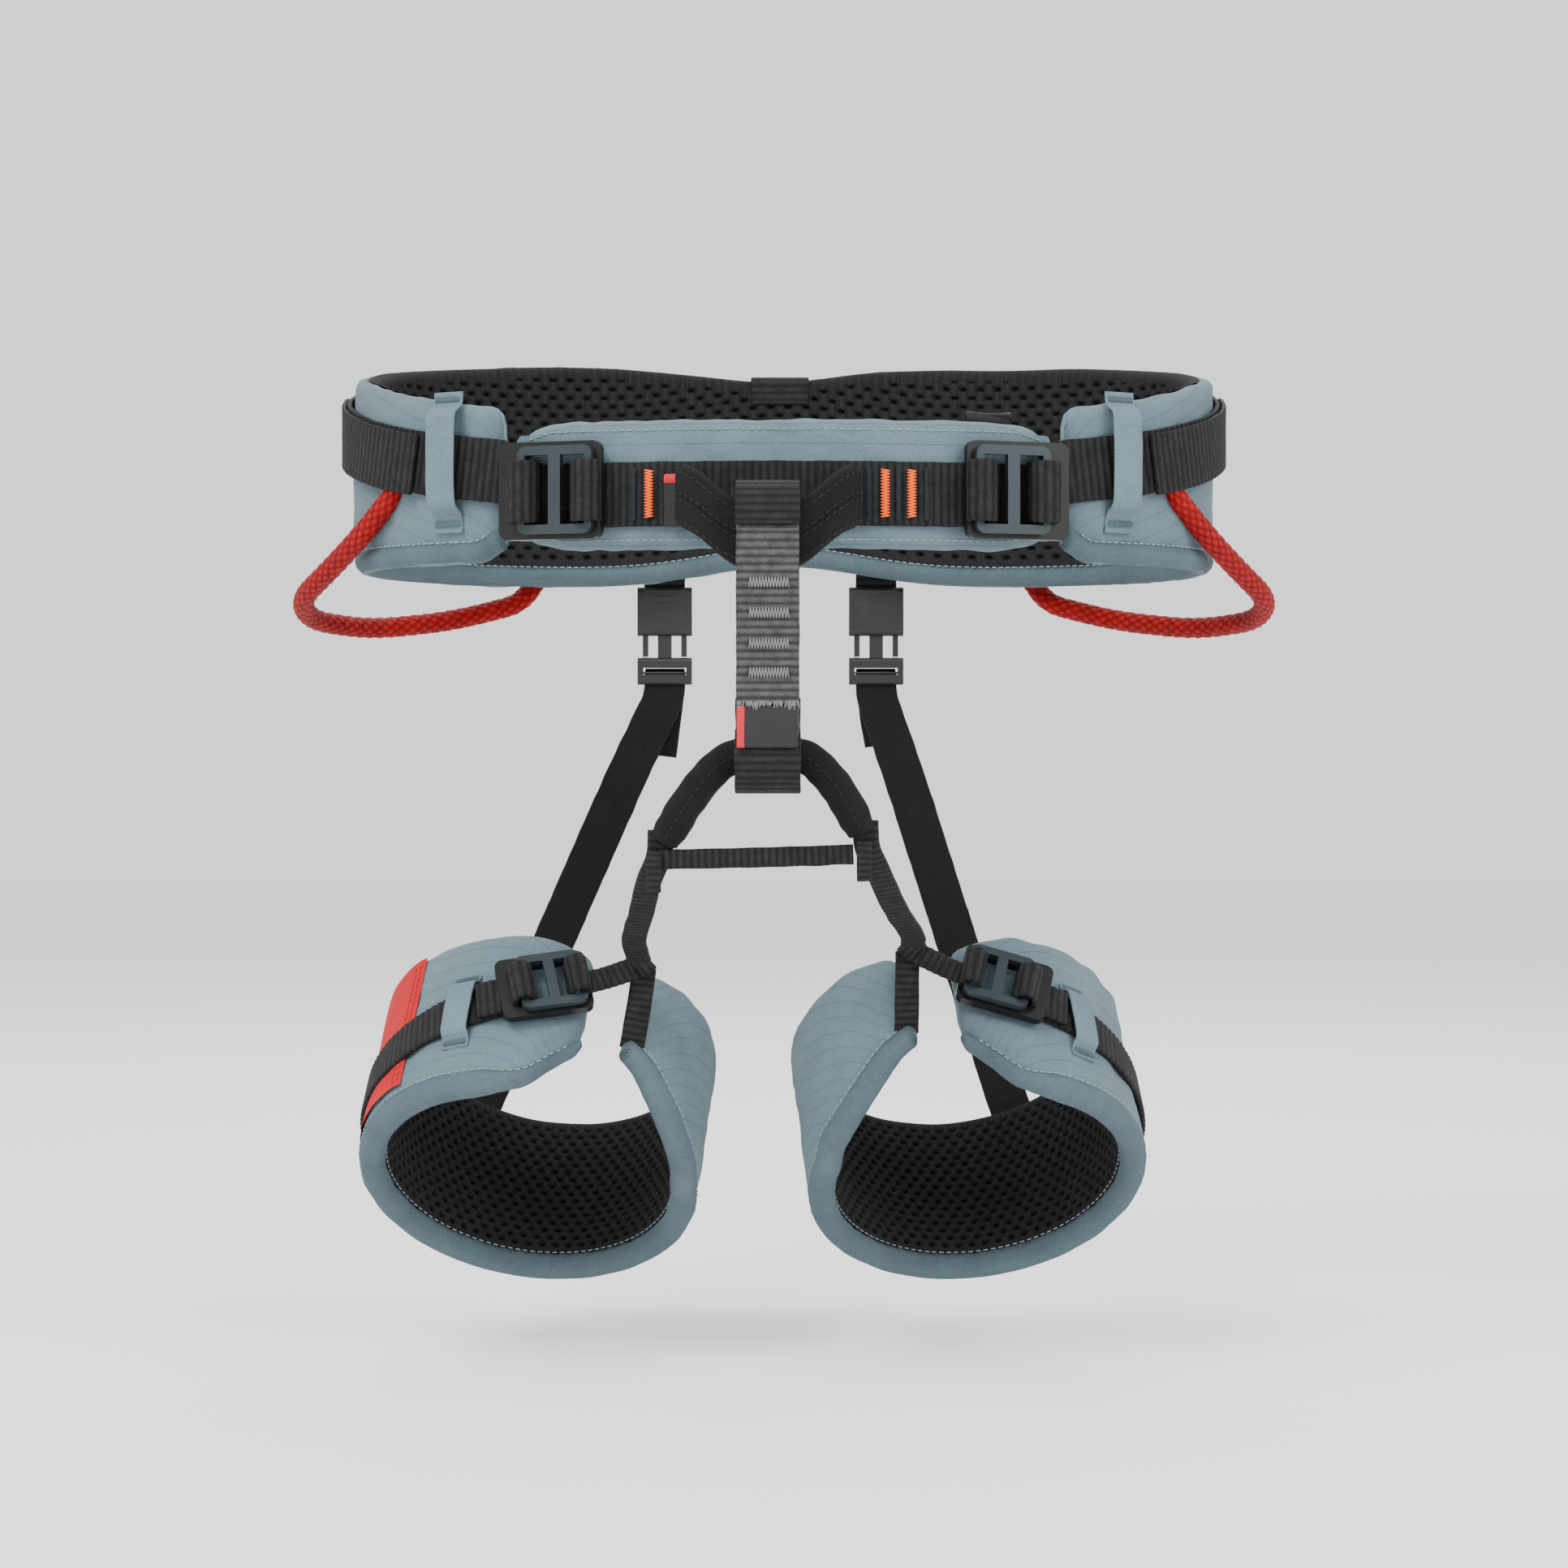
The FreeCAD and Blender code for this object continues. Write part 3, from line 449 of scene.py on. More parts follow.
def capsules(starts, ends, radius):
    """Short round-ended threads: vertices and quads."""
    profile = [(-0.5, 0.25), (-0.42, 0.8), (-0.2, 1.0), (0.2, 1.0), (0.42, 0.8), (0.5, 0.25)]
    turn = np.arange(6) * TAU / 6
    middle, run = (starts + ends) / 2, ends - starts
    along = unit(run)
    helper = np.where(np.abs(along[:, 2:]) < 0.9, [[0, 0, 1.0]], [[1.0, 0, 0]])
    side = unit(np.cross(along, helper))
    other = np.cross(along, side)
    rings = []
    for share, wide in profile:
        centre = middle + run * share
        spokes = side[:, None] * np.cos(turn)[None, :, None] + other[:, None] * np.sin(turn)[None, :, None]
        rings.append(centre[:, None] + spokes * radius * wide)
    vertices = np.stack(rings, 1)
    count, high, wide = len(starts), len(profile), 6
    i, j = np.meshgrid(np.arange(high - 1), np.arange(wide), indexing="ij")
    quads = np.stack([i * wide + j, i * wide + (j + 1) % wide, (i + 1) * wide + (j + 1) % wide,
                      (i + 1) * wide + j], -1).reshape(-1, 4)
    ends_up = np.array([[0, 3, 2, 1], [0, 5, 4, 3]])
    ends_down = np.array([[0, 1, 2, 3], [0, 3, 4, 5]]) + (high - 1) * wide
    quads = np.concatenate([quads, ends_up, ends_down])
    quads = (quads[None] + (np.arange(count) * high * wide)[:, None, None]).reshape(-1, 4)
    return vertices.reshape(-1, 3), quads


def threads(name, rows, look, body, radius=0.27):
    """One object of sewing thread. Each row is (starts, ends)."""
    starts = np.concatenate([r[0] for r in rows])
    ends = np.concatenate([r[1] for r in rows])
    vertices, quads = capsules(starts, ends, radius)
    local = vertices.reshape(len(starts), 36, 3)
    uv = (local - local.mean(1, keepdims=True))[..., :2].reshape(-1, 2)[quads.ravel()]
    item = make_object(name, vertices, quads.ravel(), np.arange(len(quads)) * 4, uv, look)
    return ride(item, body)


def stitch_row(line, pitch=2.6, length=1.8):
    """A running stitch along a line of points."""
    distance = lengths(line)
    first = np.arange(0.6, distance[-1] - length, pitch)
    starts, ends = (np.stack([np.interp(d, distance, axis) for axis in line.T], 1)
                    for d in (first, first + length))
    return starts, ends


def zigzag(centre, along, across, length, width, pitch=0.8):
    """A bar tack: threads to and fro across a short line."""
    centre, along, across = (np.array(v, float) for v in (centre, along, across))
    count = max(2, round(length / pitch))
    t = np.linspace(-0.5, 0.5, count * 2 + 1)
    swing = np.where(np.arange(len(t)) % 2, 0.5, -0.5)
    points = centre + np.outer(t * length, along) + np.outer(swing * width, across)
    return points[:-1], points[1:]


# ---------------------------------------------------------------- the belt's oval and the legs' frames

REACH, LARGE_CENTRE, LARGE_RADIUS, SIDE_RADIUS, MEET = 73.0, 123.225, 208.225, 65.0, 30.64


def oval(angle, offset, z):
    """The point whose outward normal is at that angle from the front, turning to the right."""
    angle, offset, z = np.broadcast_arrays(np.array(angle, float), offset, z)
    angle = (angle + 180) % 360 - 180
    turn = np.radians(angle)
    large = (np.abs(angle) <= MEET) | (np.abs(angle) >= 180 - MEET)
    middle_x = np.where(large, 0, np.sign(angle) * REACH)
    middle_y = np.where(large, np.where(np.abs(angle) <= MEET, LARGE_CENTRE, -LARGE_CENTRE), 0)
    radius = np.where(large, LARGE_RADIUS, SIDE_RADIUS) + offset
    return np.stack([middle_x + np.sin(turn) * radius, middle_y - np.cos(turn) * radius, z + 0.0 * turn], -1)


def even_angles(at, first, last, step):
    """Angles that are equal steps apart along a band."""
    dense = np.linspace(first, last, 1500)
    distance = lengths(at(dense, 4.0, 0.0))
    stops = np.linspace(0, distance[-1], max(3, round(distance[-1] / step) + 1))
    return np.interp(stops, distance, dense), stops


def turned(axis, degrees):
    a = np.array(axis, float)
    k = np.array([[0, -a[2], a[1]], [a[2], 0, -a[0]], [-a[1], a[0], 0]])
    t = math.radians(degrees)
    return np.eye(3) + math.sin(t) * k + (1 - math.cos(t)) * k @ k


LEG_BASE = {"left": np.array([-83.0, -5, -204]), "right": np.array([62.0, -5, -204])}
LEG_TURN = {
    side: turned((0, 1, 0), -8 * sign) @ turned((1, 0, 0), -41) @ turned((0, 0, 1), 14 if sign > 0 else 0)
    for side, sign in SIDES.items()
}


def in_leg(side, points):
    return np.array(points, float) @ LEG_TURN[side].T + LEG_BASE[side]


def leg_band(side):
    """Points of a leg loop by angle from the front to the middle, offset from the lining and height."""
    def at(angle, offset, z):
        angle, offset, z = np.broadcast_arrays(np.array(angle, float), offset, z)
        turn = np.radians(angle)
        radius = 49.0 + offset
        local = np.stack([-SIDES[side] * np.sin(turn) * radius, -np.cos(turn) * radius, z + 0.0 * turn], -1)
        return in_leg(side, local)
    return at


# ---------------------------------------------------------------- pads


def stadium(low, top, inner, outer, count):
    """Offsets and heights of a pad's section: up the inner face, over, down the outer face, under."""
    bounds = np.broadcast_arrays(low, top, inner, outer)
    low, top, inner, outer = (np.array(v, float)[:, None] for v in bounds)
    radius = np.minimum((outer - inner) / 2, (top - low) / 2)
    rise = np.linspace(0, 1, count)[None]
    turn = np.radians([150, 120, 90, 60, 30])[None]
    middle = (inner + outer) / 2
    half = (outer - inner) / 2
    face = low + radius + (top - low - 2 * radius) * rise
    offsets = [inner + 0 * face, middle + half * np.cos(turn), outer + 0 * face,
               middle + half * np.cos(turn[:, ::-1])]
    heights = [face, top - radius + radius * np.sin(turn), face[:, ::-1],
               low + radius - radius * np.sin(turn)]
    return np.concatenate(offsets, 1), np.concatenate(heights, 1)


def rounded_ends(distance, reach):
    """1 along a band, falling to nearly 0 at its two ends."""
    near = np.minimum(distance, distance[-1] - distance)
    return np.sqrt(1 - (1 - np.clip(near / reach, 0.02, 1)) ** 2)


def band_section(distance, low, top, inner, outer, count, reach):
    """Offsets and heights round a band's section, smaller toward the band's two ends."""
    full = rounded_ends(distance, reach)
    middle, half = (inner + outer) / 2, (outer - inner) / 2 * full
    shrink = (1 - full) * reach
    return stadium(low + shrink, top - shrink, middle - half, middle + half, count)


FURTHEST_SETTLING = 2.2


def inflate(item, pinned):
    """Lets the cover settle round its filling: cloth under pressure, held at its seams."""
    mesh = item.data
    rest = np.zeros(len(mesh.vertices) * 3)
    mesh.vertices.foreach_get("co", rest)
    group = item.vertex_groups.new(name="seams")
    group.add([int(i) for i in np.flatnonzero(pinned)], 1.0, "REPLACE")
    cloth = item.modifiers.new("Cloth", "CLOTH")
    settings = cloth.settings
    settings.vertex_group_mass = "seams"
    settings.use_pressure = True
    settings.uniform_pressure_force = 4.0
    settings.quality = 5
    settings.tension_stiffness = settings.compression_stiffness = 20
    settings.bending_stiffness = 0.6
    settings.effector_weights.gravity = 0
    cloth.point_cache.frame_start, cloth.point_cache.frame_end = 1, 20
    for number in range(1, 21):
        bpy.context.scene.frame_set(number)
    settled = item.evaluated_get(bpy.context.evaluated_depsgraph_get())
    moved = np.zeros_like(rest)
    settled.data.vertices.foreach_get("co", moved)
    item.modifiers.remove(cloth)
    bpy.context.scene.frame_set(1)
    shift = (moved - rest).reshape(-1, 3)
    far = np.linalg.norm(shift, axis=1, keepdims=True)
    shift *= np.minimum(1, FURTHEST_SETTLING / 1000 / np.maximum(far, 1e-9))
    mesh.vertices.foreach_set("co", (rest.reshape(-1, 3) + shift).astype(np.float32).ravel())
    mesh.update()


def finer(item, waves, seed):
    """One subdivision, then small folds along the surface."""
    modifier = item.modifiers.new("Subdivision", "SUBSURF")
    modifier.levels = modifier.render_levels = 1
    modifier.boundary_smooth = "PRESERVE_CORNERS"
    depsgraph = bpy.context.evaluated_depsgraph_get()
    mesh = bpy.data.meshes.new_from_object(item.evaluated_get(depsgraph))
    item.modifiers.remove(modifier)
    item.data = mesh
    count = len(mesh.vertices)
    co, normals = np.zeros(count * 3), np.zeros(count * 3)
    mesh.vertices.foreach_get("co", co)
    mesh.vertices.foreach_get("normal", normals)
    co, normals = co.reshape(-1, 3), normals.reshape(-1, 3)
    x, y, z = (co * 1000).T
    fold = ripple(x + 0.6 * y, z * 0.8, 17, seed) + 0.5 * ripple(x - y, z, 8, seed + 1)
    co = co + normals * (fold * waves / 1000)[:, None]
    mesh.vertices.foreach_set("co", co.astype(np.float32).ravel())
    mesh.update()
    mesh.shade_smooth()


def pad(name, at, first, last, low, top, body, nodes, outer=7.5, held=None, seed=3, reach=4.0,
        recess=1.3):
    """A padded band. held tells which of its outer face is pressed down, by angle and height."""
    angles, distance = even_angles(at, first, last, 3.6)
    low, top = low(angles), top(angles)
    offsets, heights = band_section(distance, low, top, 2.0, outer, 17, reach)
    bound = smoothstep((low[:, None] + 10.5 - heights) / 2.5) * (offsets > 4)
    rows = at(angles[:, None], offsets - recess * bound, heights)
    near_end = np.minimum(distance, distance[-1] - distance)[:, None] < reach + 4
    edge = (heights < low[:, None] + 10) | (heights > top[:, None] - 4.5)
    inside = offsets < outer - 0.5
    pressed = held(angles[:, None], heights) if held else np.zeros(offsets.shape, bool)
    pinned = np.where(near_end | edge | inside | pressed, 1.0, 0.0)
    item = rows_object(name, rows, "cover")
    inflate(item, np.concatenate([pinned.ravel(), [1.0, 1.0]]))
    finer(item, 0.42, seed)
    ride(item, body, *nodes)


def lining(name, at, first, last, low, top, body, nodes, pitch=(6.6, 3.2), hole=(1.55, 0.85)):
    """Spacer mesh over a band's inner face, with staggered oval holes sunk into it and marked for painted
    shade.
    """
    angles, distance = even_angles(at, first, last, 0.72)
    low, top = low(angles)[:, None], top(angles)[:, None]
    bend = 3.6
    run = (top - bend) - low
    rows = int(np.ceil((run.max() + bend * math.pi / 2) / 0.62))
    climb = np.linspace(0, 1, rows)[None] * (run + bend * math.pi / 2)
    turn = np.clip((climb - run) / bend, 0, math.pi / 2)
    heights = low + np.minimum(climb, run) + bend * np.sin(turn)
    offsets = -0.45 + (bend + 0.4) * (1 - np.cos(turn))
    index = np.round(climb / pitch[1])
    across = climb - index * pitch[1]
    share = distance[:, None] / pitch[0] + 0.5 * (index % 2)
    along = (share - np.round(share)) * pitch[0]
    sunk = smoothstep(1.35 - (along / hole[0]) ** 2 - (across / hole[1]) ** 2)
    sunk *= (distance[:, None] > 4) & (distance[:, None] < distance[-1] - 4) & (climb > 2) & (climb < run - 1)
    bulge = 0.25 * ripple(distance[:, None], heights, 24, 5)
    item = rows_object(name, at(angles[:, None], offsets + 1.3 * sunk + bulge, heights), "mesh", wrap=False)
    # sunk also marks the holes for their painted shade
    return ride(mark(item, "hole", sunk), body, *nodes)


def hem(name, at, first, last, low, high, body, nodes, seed=7):
    """A folded binding round a band's lower edge, puckered by its stitches."""
    inner, outer = -0.9, 8.2
    angles, distance = even_angles(at, first, last, 1.1)
    bottom = low(angles)
    high = high(angles) if callable(high) else np.full(len(angles), high)
    along = distance[:, None]
    offsets, heights = band_section(distance, bottom, bottom + high, inner, outer, 7, 2.5)
    from_stitch = np.abs(heights - (bottom + high)[:, None] + 2.2)
    wander = 2 * ripple(along, 0 * along, 30, seed)
    pucker = 0.22 * np.cos(TAU * along / 5.2 + wander) * np.exp(-from_stitch / 3)
    groove = -0.45 * np.exp(-((from_stitch / 0.9) ** 2))
    swell = (pucker + groove + 0.18 * ripple(along, heights, 14, seed)) * rounded_ends(distance, 5)[:, None]
    sign = np.sign(offsets - (inner + outer) / 2)
    rows = at(angles[:, None], offsets + sign * swell, heights)
    ride(rows_object(name, rows, "hem"), body, *nodes)
    lines = [stitch_row(at(angles, offset, bottom + high - 2.2)[4:-4])
             for offset in (inner + 0.2, outer - 0.2)]
    threads(name + "_thread", lines, "thread", body, 0.2)


# ---------------------------------------------------------------- belt

TOP_Y = [-110, -73, -58, -30, 0, 22, 45, 64, 80, 110]
TOP_Z = [22, 27, 32, 40.5, 46, 50.3, 54, 57, 58.5, 57]


def belt_top(angles):
    """Height of the belt's top edge: low at the front, high at the rear, with a slight dip behind."""
    point = oval(angles, 4.0, 0.0)
    dip = 3.2 * np.exp(-((point[:, 0] / 26) ** 2)) * (point[:, 1] > 0)
    uneven = 0.6 * np.sin(point[:, 0] / 17) * (point[:, 1] > 60)
    return np.interp(point[:, 1], TOP_Y, TOP_Z) - dip + uneven


def belt_low(angles):
    """Height of its lower edge: raised behind, with the two front corners cut back."""
    point = oval(angles, 4.0, 0.0)
    rise = 8.5 * np.exp(-((point[:, 0] / 42) ** 2)) * (point[:, 1] > 0)
    corner = 4.0 * smoothstep((27.6 - np.minimum(angles, 360 - angles)) / 2.6)
    return -21.5 + rise + corner


def webbing_height(point):
    """Middle of the waist webbing, by where it is from front to rear."""
    return 28.4 + 0.28 * point[..., 1]


def under_webbing(angles, heights):
    middle = webbing_height(oval(angles, 8.0, 0.0))
    side = (angles + 180) % 360 - 180
    return (np.abs(heights - middle) < 12) & (np.abs(side) < 110)


def make_belt():
    pad("belt_pad", oval, 24.7, 335.3, belt_low, belt_top, "root", ("belt_foam", "belt_shell"), outer=8.1,
        held=under_webbing)
    lining("belt_mesh", oval, 26.4, 333.6, lambda a: belt_low(a) + 7.4, belt_top, "root", ("belt_lining",))
    hem("belt_hem", oval, 24.9, 335.1, belt_low, 9.2, "root", ("belt_lower_binding",))
    rear = oval(180, -0.8, belt_top(np.array([180.0]))[0] + 0.7)
    over = [rear + [0, 0, -9], rear + [0, 0, 0.4], rear + [0, 9.6, 0.4], rear + [0, 9.6, -9]]
    strap("rear_top_band", [p + [-1.5, 0, 0] for p in over], 21, 1.1, "webbing", "root", radius=2.5, rib=0.12)


def front_pad_low(angles):
    return -18.5 + 3.2 * smoothstep((np.abs(angles) - 18.5) / 5)


def front_pad_top(angles):
    return 22.8 - 3.0 * smoothstep((np.abs(angles) - 19.5) / 4)


def under_front_webbing(angles, heights):
    return (np.abs(heights + 1) < 12) & (np.abs(angles) < 40)


def make_front_pad():
    pad("front_pad", oval, -23.2, 23.2, front_pad_low, front_pad_top, "root", ("front_pad_shell",),
        outer=8.0, held=under_front_webbing, seed=17, reach=5.0, recess=0.0)
    lining("front_pad_mesh", oval, -22.6, 22.6, lambda a: front_pad_low(a) + 3, front_pad_top, "root",
           ("front_pad_lining",))
    angles, _ = even_angles(oval, -22.3, 22.3, 1.0)
    seams = (front_pad_low(angles) + 3.0, front_pad_top(angles) - 3.4)
    rows = [stitch_row(oval(angles, 8.3, height)) for height in seams]
    threads("front_pad_thread", rows, "thread", "root", 0.2)
    for start, end in ((-23.4, -21.6), (21.6, 23.4)):
        z = np.linspace(-14.2, 18.4, 50)
        sunk = 3.2 * np.exp(-np.minimum(z - z[0], z[-1] - z) / 1.6)
        line = oval(np.full(50, (start + end) / 2), 8.4 - sunk, z)
        across = oval(np.full(50, end), 8.4, z) - oval(np.full(50, start), 8.4, z)
        rows = swept(line, unit(across), flat_section(6.5, 1.6, 5))
        rows += 0.15 * ripple(z[:, None, None], 0 * rows, 6, 31)
        ride(rows_object(f"front_pad_edge_{'left' if end < 0 else 'right'}", rows, "binding"), "root")
    tab = oval(18.0, 3.0, 22.2)
    strap("front_pad_tab", [tab + [0, 4.5, -8], tab + [0, 3.5, 3.2], tab + [0, -0.5, 3.2],
                            tab + [0, -1.5, -4]], 15, 1.2, "webbing", "root", across=(0.95, 0.3, 0),
          radius=1.8, rib=0.1)


def band_on_oval(name, first, last, offset, z_of, width, thickness, look, body, nodes, pitch, rib, seed=1):
    """Webbing laid round the belt."""
    angles, _ = even_angles(oval, first, last, 0.5)
    path = oval(angles, offset, 0.0)
    path[:, 2] = z_of(path)
    wander = 0.2 * ripple(lengths(path), 0, 40, seed)
    path = path + (oval(angles, 1.0, 0) - oval(angles, 0.0, 0)) * wander[:, None]
    side = np.tile([0.0, 0, 1.0], (len(path), 1))
    return ride(webbing_object(name, path, side, width, thickness, pitch, rib, look, seed=seed), body, *nodes)


def make_waist_webbing():
    for side, sign in SIDES.items():
        ends = (sign * 24.2, sign * 108)
        band_on_oval(f"waist_webbing_{side}_band", *ends, 9.5, webbing_height, 20.4, 1.9, "webbing", "root",
                     (f"waist_webbing_{side}",), 2.8, 0.4, 3 + sign)
        tail = (sign * 38, sign * 96)
        band_on_oval(f"waist_tail_{side}", *tail, 11.6, lambda p: webbing_height(p) - 0.4, 20.0, 1.7,
                     "webbing", "root", (), 2.8, 0.4, 6 + sign)
        make_keeper(side, sign)
    band_on_oval("front_webbing_band", -24, 24, 9.4, lambda p: 0 * p[:, 0] - 1, 20.4, 1.8, "webbing",
                 "root", ("front_webbing",), pitch=2.5, rib=0.36, seed=9)


def make_keeper(side, sign):
    """An elastic bridge over the waist webbing, sewn to the belt above and below it."""
    out = oval(sign * 30, 1.0, 0) - oval(sign * 30, 0.0, 0)
    spots = [(8.2, -11.5), (8.4, -5.5), (13.1, -3.0), (13.6, 4), (13.6, 18), (13.1, 27.5), (8.6, 29.5),
             (8.4, 34)]
    points = [oval(sign * 30, offset, z) for offset, z in spots]
    across = np.cross([0, 0, 1.0], out)
    strap(f"keeper_{side}", points, 11, 1.0, "elastic", "root", (f"waist_keeper_{side}",), across=across,
          radius=2.5, step=0.4, pitch=1.3, rib=0.08)
    rows = []
    for z in (-8.6, 31.6):
        rows.append(zigzag(oval(sign * 30, 9.3, z), unit(across), [0, 0, 1.0], length=9.5, width=2.2,
                           pitch=0.7))
    threads(f"keeper_{side}_tacks", rows, "binding", "root", 0.2)


# ---------------------------------------------------------------- buckles


def dress(node, look, bevel):
    """A hard CAD node gets softened edges and its finish."""
    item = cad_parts[node]
    item.data.materials.clear()
    item.data.materials.append(LOOKS[look].material)
    modifier = item.modifiers.new("Bevel", "BEVEL")
    modifier.width = bevel / 1000
    modifier.segments = 3
    modifier.limit_method = "ANGLE"
    modifier.angle_limit = math.radians(40)
    modifier.harden_normals = True


def dress_hard_parts():
    for side in SIDES:
        dress(f"waist_buckle_{side}", "base", 0.9)
        dress(f"waist_plate_{side}", "plate", 0.8)
        dress(f"leg_buckle_{side}", "base", 0.8)
        dress(f"leg_plate_{side}", "plate", 0.7)
        dress(f"female_buckle_{side}", "plastic", 0.6)
        dress(f"male_buckle_{side}", "plastic", 0.5)
        for name in ("outer", "inner"):
            dress(f"arm_{side}_{name}", "plastic", 0.35)
        dress_side_buckle(side, MIDDLE_X + BUCKLE_REACH * SIDES[side])


def dress_side_buckle(side, middle):
    """Moulded grip ridges and a raised rim on a side-release buckle, front and rear."""
    bars = [(-6.4, -23.6, 6.4, -23.6), (-6.4, -26.2, 6.4, -26.2), (-6.4, -28.8, 6.4, -28.8)]
    rim = [(-8.7, -21.4, 8.7, -21.4), (-8.7, -36.2, 8.7, -36.2), (-8.7, -36.2, -8.7, -21.4),
           (8.7, -36.2, 8.7, -21.4)]
    foot = [(-8.6, -51.6, 8.6, -51.6)]
    for name, lines, front, rear in (("female", bars + rim, 92.3, 99), ("male", foot, 93, 98)):
        starts = [(middle + a, y, b) for y in (front, rear) for a, b, _, _ in lines]
        ends = [(middle + c, y, d) for y in (front, rear) for _, _, c, d in lines]
        body = f"female_{side}" if name == "female" else "root"
        threads(f"{name}_ridges_{side}", [(np.array(starts, float), np.array(ends, float))], "plastic",
                body, 0.5)


def placed(origin, turn, points):
    """Points of a turned frame, in the scene's."""
    return np.array(points, float) @ turn.T + origin


def wrap_strap(name, place, start, end, inward, low, width, look, body, nodes=(), top=8.6, foot=0.4,
               outside=3.6):
    """Webbing up through one window, over a bar and down again, in a buckle's own frame."""
    origin, turn = place
    mid = low + width / 2
    rise = [(start, foot), (start, top - 2.2), ((2 * start + end) / 3, top), ((start + 2 * end) / 3, top),
            (end, top - 2.4), (end, outside)]
    points = placed(origin, turn, [(inward * u, -v, mid) for u, v in rise])
    across = turn @ np.array([0, 0, 1.0])
    return strap(name, points, width, 2.0, look, body, nodes, across=across, radius=2.4, step=0.35,
                 pitch=2.5, rib=0.34)


def make_waist_wraps():
    for side, sign in SIDES.items():
        angle = sign * 19.6
        place = (oval(angle, 10.7, 0.5), turned((0, 0, 1), angle))
        spans = [(-4.6, -12.6), (9.2, 17.2)]
        nodes = [(f"waist_wrap_{side}",), ()]
        for k, ((start, end), stands_for) in enumerate(zip(spans, nodes)):
            wrap_strap(f"waist_wrap_{side}_{k}", place, start, end, -sign, -10.3, 19.6, "webbing",
                       f"waist_adjuster_{side}", stands_for)


def leg_buckle_place(side):
    sign = SIDES[side]
    spot = leg_band(side)(-2.0, 10.5, 7.0)
    turn = LEG_TURN[side] @ turned((0, 0, 1), 2 * sign) @ turned((0, 1, 0), 18 * sign)
    return spot, turn


def make_leg_wraps():
    for side, sign in SIDES.items():
        place = leg_buckle_place(side)
        for k, (start, end) in enumerate([(-4.0, -10.6), (8.2, 14.2)]):
            wrap_strap(f"leg_wrap_{side}_{k}", place, start, end, -sign, -7.4, 14.6, "webbing",
                       f"leg_adjuster_{side}", top=7.4, foot=0.3, outside=3.0)


# ---------------------------------------------------------------- front: tie-in points and belay loop


def tie_in_line(step):
    """The upper tie-in's centre line, a bow in plan and a shallow U from the front."""
    half, back, front = 28.0, -98.0, -119.0
    depth = back - front
    radius = (half**2 + depth**2) / (2 * depth)
    swing = math.asin(half / radius)
    turn = np.linspace(-swing, swing, int(2 * swing * radius / step))
    x = np.sin(turn) * radius
    y = front + radius - np.cos(turn) * radius
    z = -15.8 + 13.2 * smoothstep((np.abs(x) - 7) / 21)
    return np.stack([x + MIDDLE_X, y, z], 1)


def make_upper_tie_in():
    path = tie_in_line(0.55)
    distance = lengths(path)
    side = np.tile([0.0, 0, 1.0], (len(path), 1))
    section = np.repeat(flat_section(20.6, 4.4, 13)[None], len(path), 0)
    creases = 0.22 * ripple(distance[:, None], section[..., 0], 9, 21)
    seam = -0.5 * np.exp(-((section[..., 0] / 0.7) ** 2))
    section[..., 1] += np.sign(section[..., 1]) * (creases + seam) * (np.abs(section[..., 1]) > 1)
    ends = np.clip(np.minimum(distance, distance[-1] - distance) / 7, 0, 1)[:, None]
    section[..., 1] *= 0.55 + 0.45 * smoothstep(ends)
    outward = unit(np.cross(np.gradient(path, axis=0) * [1, 1, 0], side))
    section[..., 0] *= 0.84 + 0.16 * smoothstep(ends)
    rows = path[:, None] + side[:, None] * section[..., :1] + outward[:, None] * section[..., 1:]
    sleeve = ride(rows_object("tie_in_sleeve", rows, "sleeve"), "root", "upper_tie_in_sleeve")
    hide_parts("upper_tie_in_webbing")
    rows = []
    for rise in (-7.6, -1.1, 1.1, 7.6):
        rows.append(stitch_row(path + outward * 2.5 + side * rise, 3.2, 2.0))
    threads("tie_in_thread", rows, "dark_thread", "root", 0.16)
    make_front_tacks()


def on_front(x, z, stand):
    """A point on the front webbing, and which way is outward and along there."""
    angle = math.degrees(math.asin(x / (LARGE_RADIUS + stand)))
    point = oval(angle, stand, z)
    return point, unit(oval(angle + 1, stand, z) - point)


def make_front_tacks():
    rows = []
    for x in (-42.7, 31.9, 40.3):
        point, along = on_front(x, -1.0, 11.0)
        rows.append(zigzag(point, [0, 0, 1.0], along, length=15.0, width=3.0, pitch=0.95))
    threads("orange_tacks", rows, "orange", "root", 0.26)
    rows = []
    for x in (-47.5, 26.8, 36.1, 45.0):
        point, along = on_front(x, -1.0, 11.0)
        rows.append(zigzag(point, [0, 0, 1.0], along, length=16.5, width=1.6))
    threads("front_dark_tacks", rows, "dark_thread", "root", 0.2)
    point, along = on_front(-33.1, -3.5, 12.2)
    high = np.array([0, 0, 1.0])
    out = np.cross(along, high)
    out = out if out[1] < 0 else -out
    strap("front_label", [point - high * 8.1, point + high * 0.5 + out * 0.5, point + high * 6.2], 9.4, 0.7,
          "label", "root", across=along, radius=4, step=0.6, pitch=0, rib=0.0)
    strap("front_label_edge", [point + high * 5.6 + out * 0.1, point + high * 7.2 + out * 0.5,
                               point + high * 8.2 - out * 0.4], 9.4, 0.9, "red_edge", "root", across=along,
          radius=1.5, step=0.4, pitch=0, rib=0.0)


def on_middle(outline):
    """Points over the belay loop's middle line, from their depth and height."""
    return [(MIDDLE_X, depth, height) for depth, height in outline]


